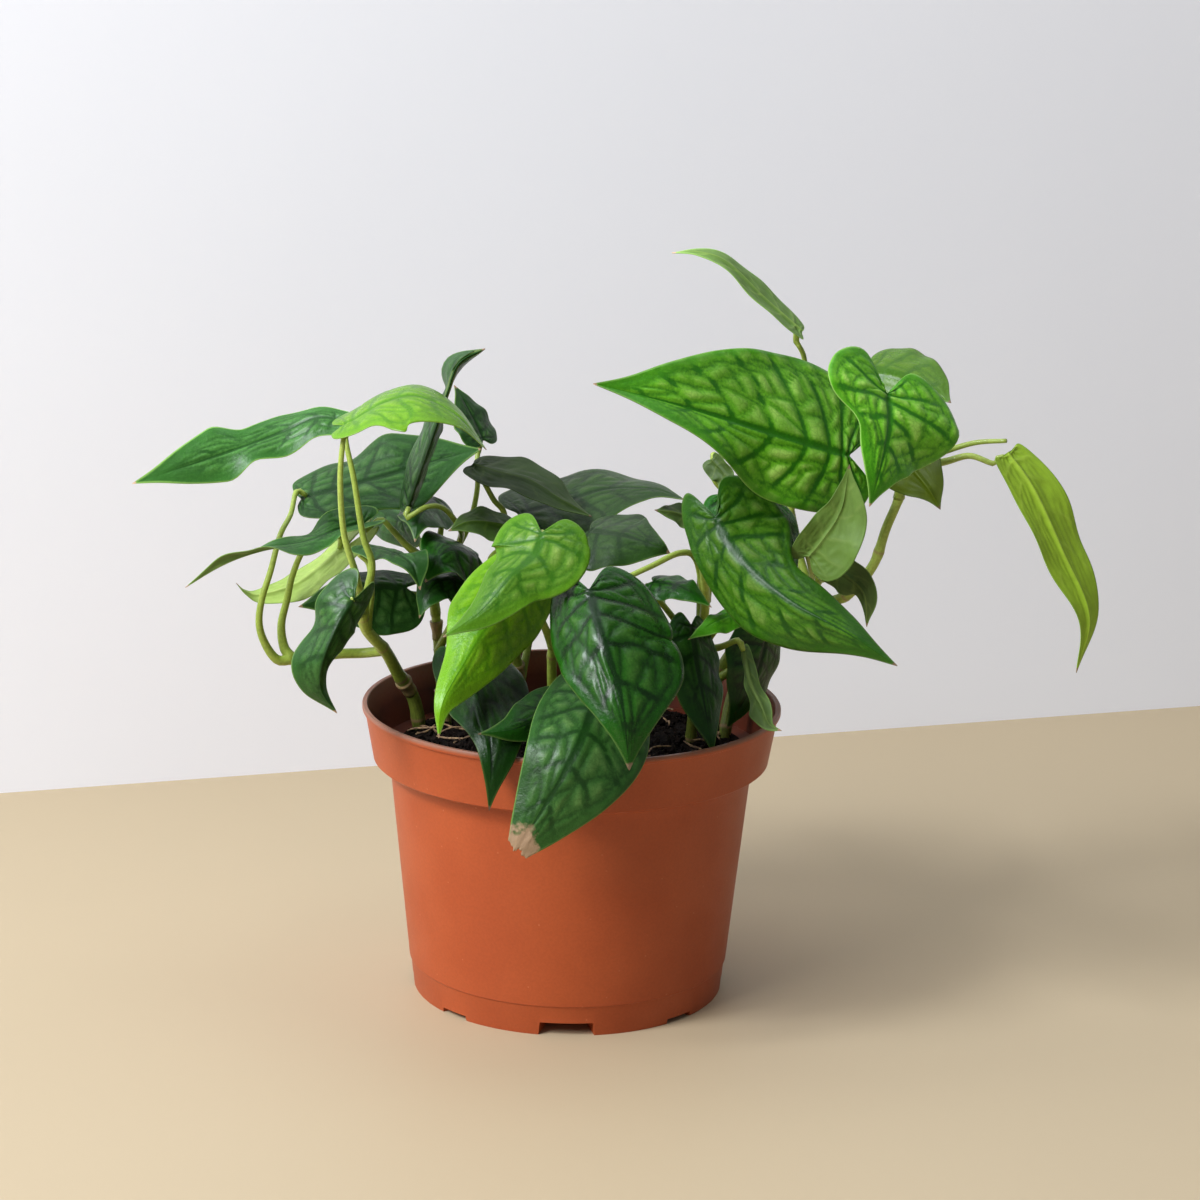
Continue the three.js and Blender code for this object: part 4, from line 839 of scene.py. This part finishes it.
def makeShoot(name, shoot):
    skin, thick = Skin(), shoot.get("thick", 1.0)
    x, y, z = shoot["stem"][0]
    stem = [(x, y, z - stemForm["holeDepth"]), (x, y, z - 4)] + shoot["stem"][1:]
    walk = Rib(stem)

    def nodeRing(s, length, width):
        # 1 at the middle of each node, falling away on both sides
        gap = stemForm["nodeGap"]
        return math.exp(-((s * length) % gap - gap / 2) ** 2 / width)

    def stemRadius(s, length):
        r = stemForm["stemR"] + (stemForm["footR"] - stemForm["stemR"]) * s ** 1.5
        return thick * r + 0.3 * nodeRing(s, length, 3)

    def petioleRadius(s, length):
        # A clasping foot, and a knee just under the blade
        sheath = 0.6 * math.exp(-s * length / 8)
        knee = 0.25 * math.exp(-((1 - s) * length - 3.5) ** 2 / 5)
        foot = stemForm["footR"] * min(thick, 1.15)
        return foot + (stemForm["tipR"] - foot) * s ** 0.6 + sheath + knee

    skin.add(*sweep(stem, stemRadius, lambda s: max(0.0, 1 - 1.2 * s),
                    lambda s: 0.75 * nodeRing(s, walk.length, 0.8)))
    if "runner" in shoot:
        skin.add(*sweep(shoot["runner"], lambda s, length: stemForm["footR"] * thick, lambda s: 0.35))
    if "tendril" in shoot:
        skin.add(*sweep(shoot["tendril"], lambda s, length: stemForm["tendrilR"] - 0.5 * s, lambda s: 0.25))
    # Dried sheaths: short papery sleeves that stand a little off the stem
    for k, at in enumerate(shoot.get("sleeves", [])):
        reach = stemForm["sleeveMm"] / walk.length
        spots = [tuple(walk.place(np.array(at + reach * i / 4))) for i in range(5)]
        base = stemRadius(at, walk.length)
        skin.add(*sweep(spots, lambda s, length: base + 0.15 + 0.65 * s ** 2 + 0.1 * math.sin(9 * s + k),
                        lambda s: 0.6, lambda s: 0.5 + 0.5 * s))
    for leafName, path in shoot["petioles"].items():
        youth = 0.12 if leafName in youngLeaves else 0.42
        skin.add(*sweep(path + petioleTip(leaves[leafName], path[-1]), petioleRadius,
                        lambda s: youth * (1 - 0.6 * s)))
    addPiece(name + "_skin", skin, name, (stemMaterial,))


for name, shoot in shoots.items():
    makeShoot(name, shoot)
print("shoots made:", len(shoots))

potForm = {
    # radius and height along the outside from the foot up, over the lip and down the inside
    "outside": [(54.9, 0), (56.1, 0), (56.3, 0.5), (57.2, 10.4), (57.45, 11.0), (57.8, 11.3), (65.2, 84.6),
                (65.6, 85.3), (70.3, 85.3), (71.0, 85.9), (73.9, 102.4), (74.2, 103.2), (74.8, 103.5),
                (75.0, 103.9), (75.0, 105.0), (74.7, 105.5)],
    "inside": [(73.4, 105.5), (73.1, 105.2), (69.6, 87.6), (64.4, 86.9), (56.4, 11.0), (55.5, 7.0)],
    "floor": [(38.2, 6.8), (35.0, 1.8), (0.4, 1.6)],
    "under": [(0.4, 0), (38.0, 0)],
    "segments": 240, "longestMm": 6.0, "lipZ": 104.9, "underPoints": 12, "sharpDegrees": 32,
    "notches": 8, "notchR": (40.0, 60.0), "notchTaper": 0.94,
    "tallNotch": {"outer": 22.0, "inner": 12.0, "height": 4.8},
    "lowNotch": {"outer": 13.0, "inner": 9.0, "height": 1.8},
}


def refine(path):
    out = []
    for (r0, z0), (r1, z1) in zip(path, path[1:]):
        count = max(1, int(math.hypot(r1 - r0, z1 - z0) / potForm["longestMm"]))
        out += [(r0 + (r1 - r0) * i / count, z0 + (z1 - z0) * i / count) for i in range(count)]
    return out + [path[-1]]


def notchCutter():
    # Wedges for the drainage notches, tall and low by turns, as one object to cut with
    cutters = bmesh.new()
    for k in range(potForm["notches"]):
        angle = 2 * math.pi * k / potForm["notches"] - math.pi / 2
        way = Vector((math.cos(angle), math.sin(angle), 0))
        across = Vector((-way.y, way.x, 0))
        notch = potForm["lowNotch" if k % 2 else "tallNotch"]
        corners = []
        for r, wide in zip(potForm["notchR"], (notch["inner"], notch["outer"])):
            for sign in (-1, 1):
                for height, shrink in ((-1.0, 1.0), (notch["height"], potForm["notchTaper"])):
                    spot = way * r + across * sign * wide / 2 * shrink + Vector((0, 0, height))
                    corners.append(cutters.verts.new(fromPot(spot)))
        bmesh.ops.convex_hull(cutters, input=corners)
    mesh = bpy.data.meshes.new("notchCutters")
    cutters.to_mesh(mesh)
    cutters.free()
    cutter = bpy.data.objects.new("notchCutters", mesh)
    scene.collection.objects.link(cutter)
    return cutter


def makePot():
    ring = potForm["outside"] + potForm["inside"] + potForm["floor"] + potForm["under"]
    ring = refine(ring + [ring[0]])[:-1]
    n, m = potForm["segments"], len(ring)
    innerStart = len(refine(potForm["outside"])) + 2
    skin = Skin()
    skin.add([(r * math.cos(2 * math.pi * k / n), r * math.sin(2 * math.pi * k / n), z)
              for k in range(n) for r, z in ring],
             [(k * m + i, (k + 1) % n * m + i, (k + 1) % n * m + (i + 1) % m, k * m + (i + 1) % m)
              for k in range(n) for i in range(m)],
             {"lip": [float(z > potForm["lipZ"]) for r, z in ring] * n,
              "inside": [float(innerStart <= i < m - potForm["underPoints"]) for i in range(m)] * n})
    pot = addPiece("pot_shell", skin, "pot", (potMaterial,))
    cutter = notchCutter()
    boolean = pot.modifiers.new("notches", "BOOLEAN")
    boolean.object = cutter
    boolean.solver = "EXACT"
    depsgraph = bpy.context.evaluated_depsgraph_get()
    cut = bpy.data.meshes.new_from_object(pot.evaluated_get(depsgraph))
    pot.modifiers.clear()
    pot.data = cut
    bpy.data.objects.remove(cutter)
    cut.set_sharp_from_angle(angle=math.radians(potForm["sharpDegrees"]))


makePot()
print("pot made")

soilForm = {"edgeZ": 88.0, "mound": 4.0, "r": 63.2, "rings": 92, "segments": 280, "roughMm": 1.2,
            "below": [(57.0, 12.0), (36.0, 8.0)], "crumbs": 2300, "crumbReach": 61.5, "chips": 60,
            "straws": 46, "strawMm": (5, 16), "strawR": 0.28, "strawReach": 61}
crumbForm = {  # ten corners round a lump, and the triangles over them
    "corners": [(1, 0, 0), (-1, 0, 0), (0, 1, 0), (0, -1, 0), (0, 0, 1), (0, 0, -1),
                (0.65, 0.65, 0.4), (-0.65, 0.6, 0.45), (-0.6, -0.7, 0.4), (0.7, -0.6, 0.45)],
    "faces": [(4, 6, 7), (4, 7, 8), (4, 8, 9), (4, 9, 6), (0, 6, 9), (6, 0, 2), (6, 2, 7), (7, 2, 1),
              (7, 1, 8), (8, 1, 3), (8, 3, 9), (9, 3, 0), (5, 2, 0), (5, 1, 2), (5, 3, 1), (5, 0, 3)],
    "jitter": 0.28,
}


def soilHeight(r):
    return soilForm["edgeZ"] + soilForm["mound"] * (1 - (r / 64) ** 2)


def soilBed():
    # The mound, rough on top and smooth where the pot hides it
    rings, n = soilForm["rings"], soilForm["segments"]
    turns = [(math.cos(2 * math.pi * k / n), math.sin(2 * math.pi * k / n)) for k in range(n)]
    points, faces = [], []
    for i in range(1, rings + 1):
        r = soilForm["r"] * i / rings
        fade = min(1.0, (rings - i) / 5 + 0.2)
        for x, y in ((r * c, r * s) for c, s in turns):
            lump = noise.fractal(Vector((x, y, 3.0)) / 9, 0.8, 2.2, 4)
            fine = noise.fractal(Vector((x, y, 9.0)) / 2.2, 0.9, 2.1, 3)
            points.append((x, y, soilHeight(r) + soilForm["roughMm"] * (lump + 0.7 * fine) * fade))
    points.append((0, 0, soilHeight(0)))
    around = [(k, (k + 1) % n) for k in range(n)]
    faces = [(i * n + a, i * n + n + a, i * n + n + b, i * n + b) for i in range(rings - 1) for a, b in around]
    faces += [(rings * n, a, b) for a, b in around]
    last = (rings - 1) * n
    for r, z in soilForm["below"]:
        start = len(points)
        points += [(r * c, r * s, z) for c, s in turns]
        faces += [(last + a, start + a, start + b, last + b) for a, b in around]
        last = start
    faces.append(tuple(last + k for k in range(n - 1, -1, -1)))
    return points, faces


def makeSoil():
    skin = Skin()
    skin.add(*soilBed())
    bedCount = len(skin.faces)
    rng = np.random.default_rng(41)
    corners = np.array(crumbForm["corners"])

    def layCrumb(size, stretch, lift):
        # One angular crumb, turned at random, bedded in the mound
        r, angle = soilForm["crumbReach"] * math.sqrt(rng.random()), rng.random() * 2 * math.pi
        spin, roll = rng.random(2) * 2 * math.pi
        jitter = rng.uniform(-crumbForm["jitter"], crumbForm["jitter"], corners.shape)
        turn = Matrix.Rotation(-spin, 3, "Z") @ Matrix.Rotation(-roll, 3, "X")
        shape = (corners + jitter) * size * stretch @ np.array(turn).T
        middle = np.array([r * math.cos(angle), r * math.sin(angle), soilHeight(r) + lift])
        skin.add(shape + middle, crumbForm["faces"])

    for _ in range(soilForm["crumbs"]):
        size = 0.35 + 1.5 * rng.random() ** 4
        layCrumb(size, rng.uniform(0.5, 1.5, 3), 0.3 * size + rng.uniform(-0.5, 1.0))
    crumbCount = len(skin.faces)
    for _ in range(soilForm["chips"]):
        layCrumb(rng.uniform(0.5, 1.4), np.array([1.8, 0.9, 0.35]), 1.1)
    edge = soilForm["strawReach"]
    for _ in range(soilForm["straws"]):
        r, angle, turn = (edge - 3) * math.sqrt(rng.random()), *(rng.random(2) * 2 * math.pi)
        length, bend = rng.uniform(*soilForm["strawMm"]), rng.uniform(-0.8, 0.8)
        middle = np.array([r * math.cos(angle), r * math.sin(angle)])
        way, across = np.array([math.cos(turn), math.sin(turn)]), np.array([-math.sin(turn), math.cos(turn)])
        path = []
        for f in (-0.5, -0.17, 0.17, 0.5):
            spot = middle + way * length * f + across * bend * length * (f * f - 0.12)
            reach = np.linalg.norm(spot)
            x, y = spot * min(1.0, edge / max(reach, 1))
            path.append((x, y, soilHeight(min(reach, edge)) + 1.3 + 1.2 * rng.random()))
        skin.add(*sweep(path, lambda s, length: soilForm["strawR"] + 0.1 * math.sin(3 * s))[:2])
    looseCount = len(skin.faces) - bedCount
    strawFaces = [0] * crumbCount + [1] * (len(skin.faces) - crumbCount)
    addPiece("soil_peat", skin, "soil", (soilMaterial, strawMaterial), strawFaces,
             [True] * bedCount + [False] * looseCount)


makeSoil()
print("soil made")

# Studio: pale table against a pale wall, both outside the object
studio = {
    "table": "#b9a787", "wall": "#f2f4f9",
    "wallFoot": [(-250, 214), (314, 391)],  # two points where the table meets the wall, mm from the pot
    "spreadM": 2.5, "nearM": 3.5, "wallM": 2.6,
    "world": "#eef2f8", "worldStrength": 0.25, "cloudMm": 333,
}
lights = {
    # place and aim in metres, size of the soft box, power in watts, colour
    "keyWindow": {"place": (-1.25, -1.25, 1.3), "aim": (0.02, 0, 0.14), "size": 0.8, "power": 25,
                  "colour": "#fbfbff"},
    "topSky": {"place": (0.4, 0.1, 1.6), "aim": (0, 0, 0.1), "size": 0.8, "power": 4.5, "colour": "#f0f5ff"},
    "wallWash": {"place": (-1.1, -0.7, 1.35), "aim": (-0.05, 0.5, 0.8), "size": 0.5, "power": 31,
                 "colour": "#f0f5ff"},
}


def plainFinish(name, colour, rough, oneSided=False):
    # Matt paint and matt board: the faintest cloud keeps them from looking computed
    look = Look(name, Roughness=rough)
    cloud = look.spread(look.noise(studio["cloudMm"], 2.0, 0.5), 0.2, 0.8, 0.97, 1.0)
    look.link(look.mix(1.0, linear(colour), cloud, "MULTIPLY"), "Base Color")
    if oneSided:  # clear from its back, so that the plant can be looked at from there too
        look.link(look.math(1.0, look.addNode("NewGeometry", output="Backfacing"), "SUBTRACT"), "Alpha")
    return look.material


def addSheet(name, corners, material):
    mesh = bpy.data.meshes.new(name)
    mesh.from_pydata([tuple(c) for c in corners], [], [(0, 1, 2, 3)])
    mesh.materials.append(material)
    sheet = bpy.data.objects.new(name, mesh)
    scene.collection.objects.link(sheet)


def addLight(name, light):
    data = bpy.data.lights.new(name, "AREA")
    data.shape = "DISK"
    data.size = light["size"]
    data.energy = light["power"]
    data.color = linear(light["colour"])[:3]
    lamp = bpy.data.objects.new(name, data)
    lamp.location = light["place"]
    lamp.rotation_euler = (Vector(light["aim"]) - Vector(light["place"])).to_track_quat("-Z", "Y").to_euler()
    scene.collection.objects.link(lamp)


def makeStudio():
    a, b = (fromPot((x, y, 0)) for x, y in studio["wallFoot"])
    along = (b - a).normalized() * studio["spreadM"]
    left, right = a - along, b + along
    near, beyond = Vector((0, -studio["nearM"], 0)), Vector((0, studio["spreadM"], 0))
    up = Vector((0, 0, studio["wallM"]))
    table = plainFinish("paleTable", studio["table"], 0.6)
    wall = plainFinish("whiteWall", studio["wall"], 0.9, oneSided=True)
    addSheet("floor", [left + near, right + near, right + beyond, left + beyond], table)
    addSheet("wall", [left, right, right + up, left + up], wall)
    for name, light in lights.items():
        addLight(name, light)
    world = bpy.data.worlds.new("studioAir")
    world.use_nodes = True
    background = world.node_tree.nodes["Background"]
    background.inputs["Color"].default_value = linear(studio["world"])
    background.inputs["Strength"].default_value = studio["worldStrength"]
    scene.world = world
    scene.view_settings.view_transform = "Standard"


makeStudio()
print("studio made")
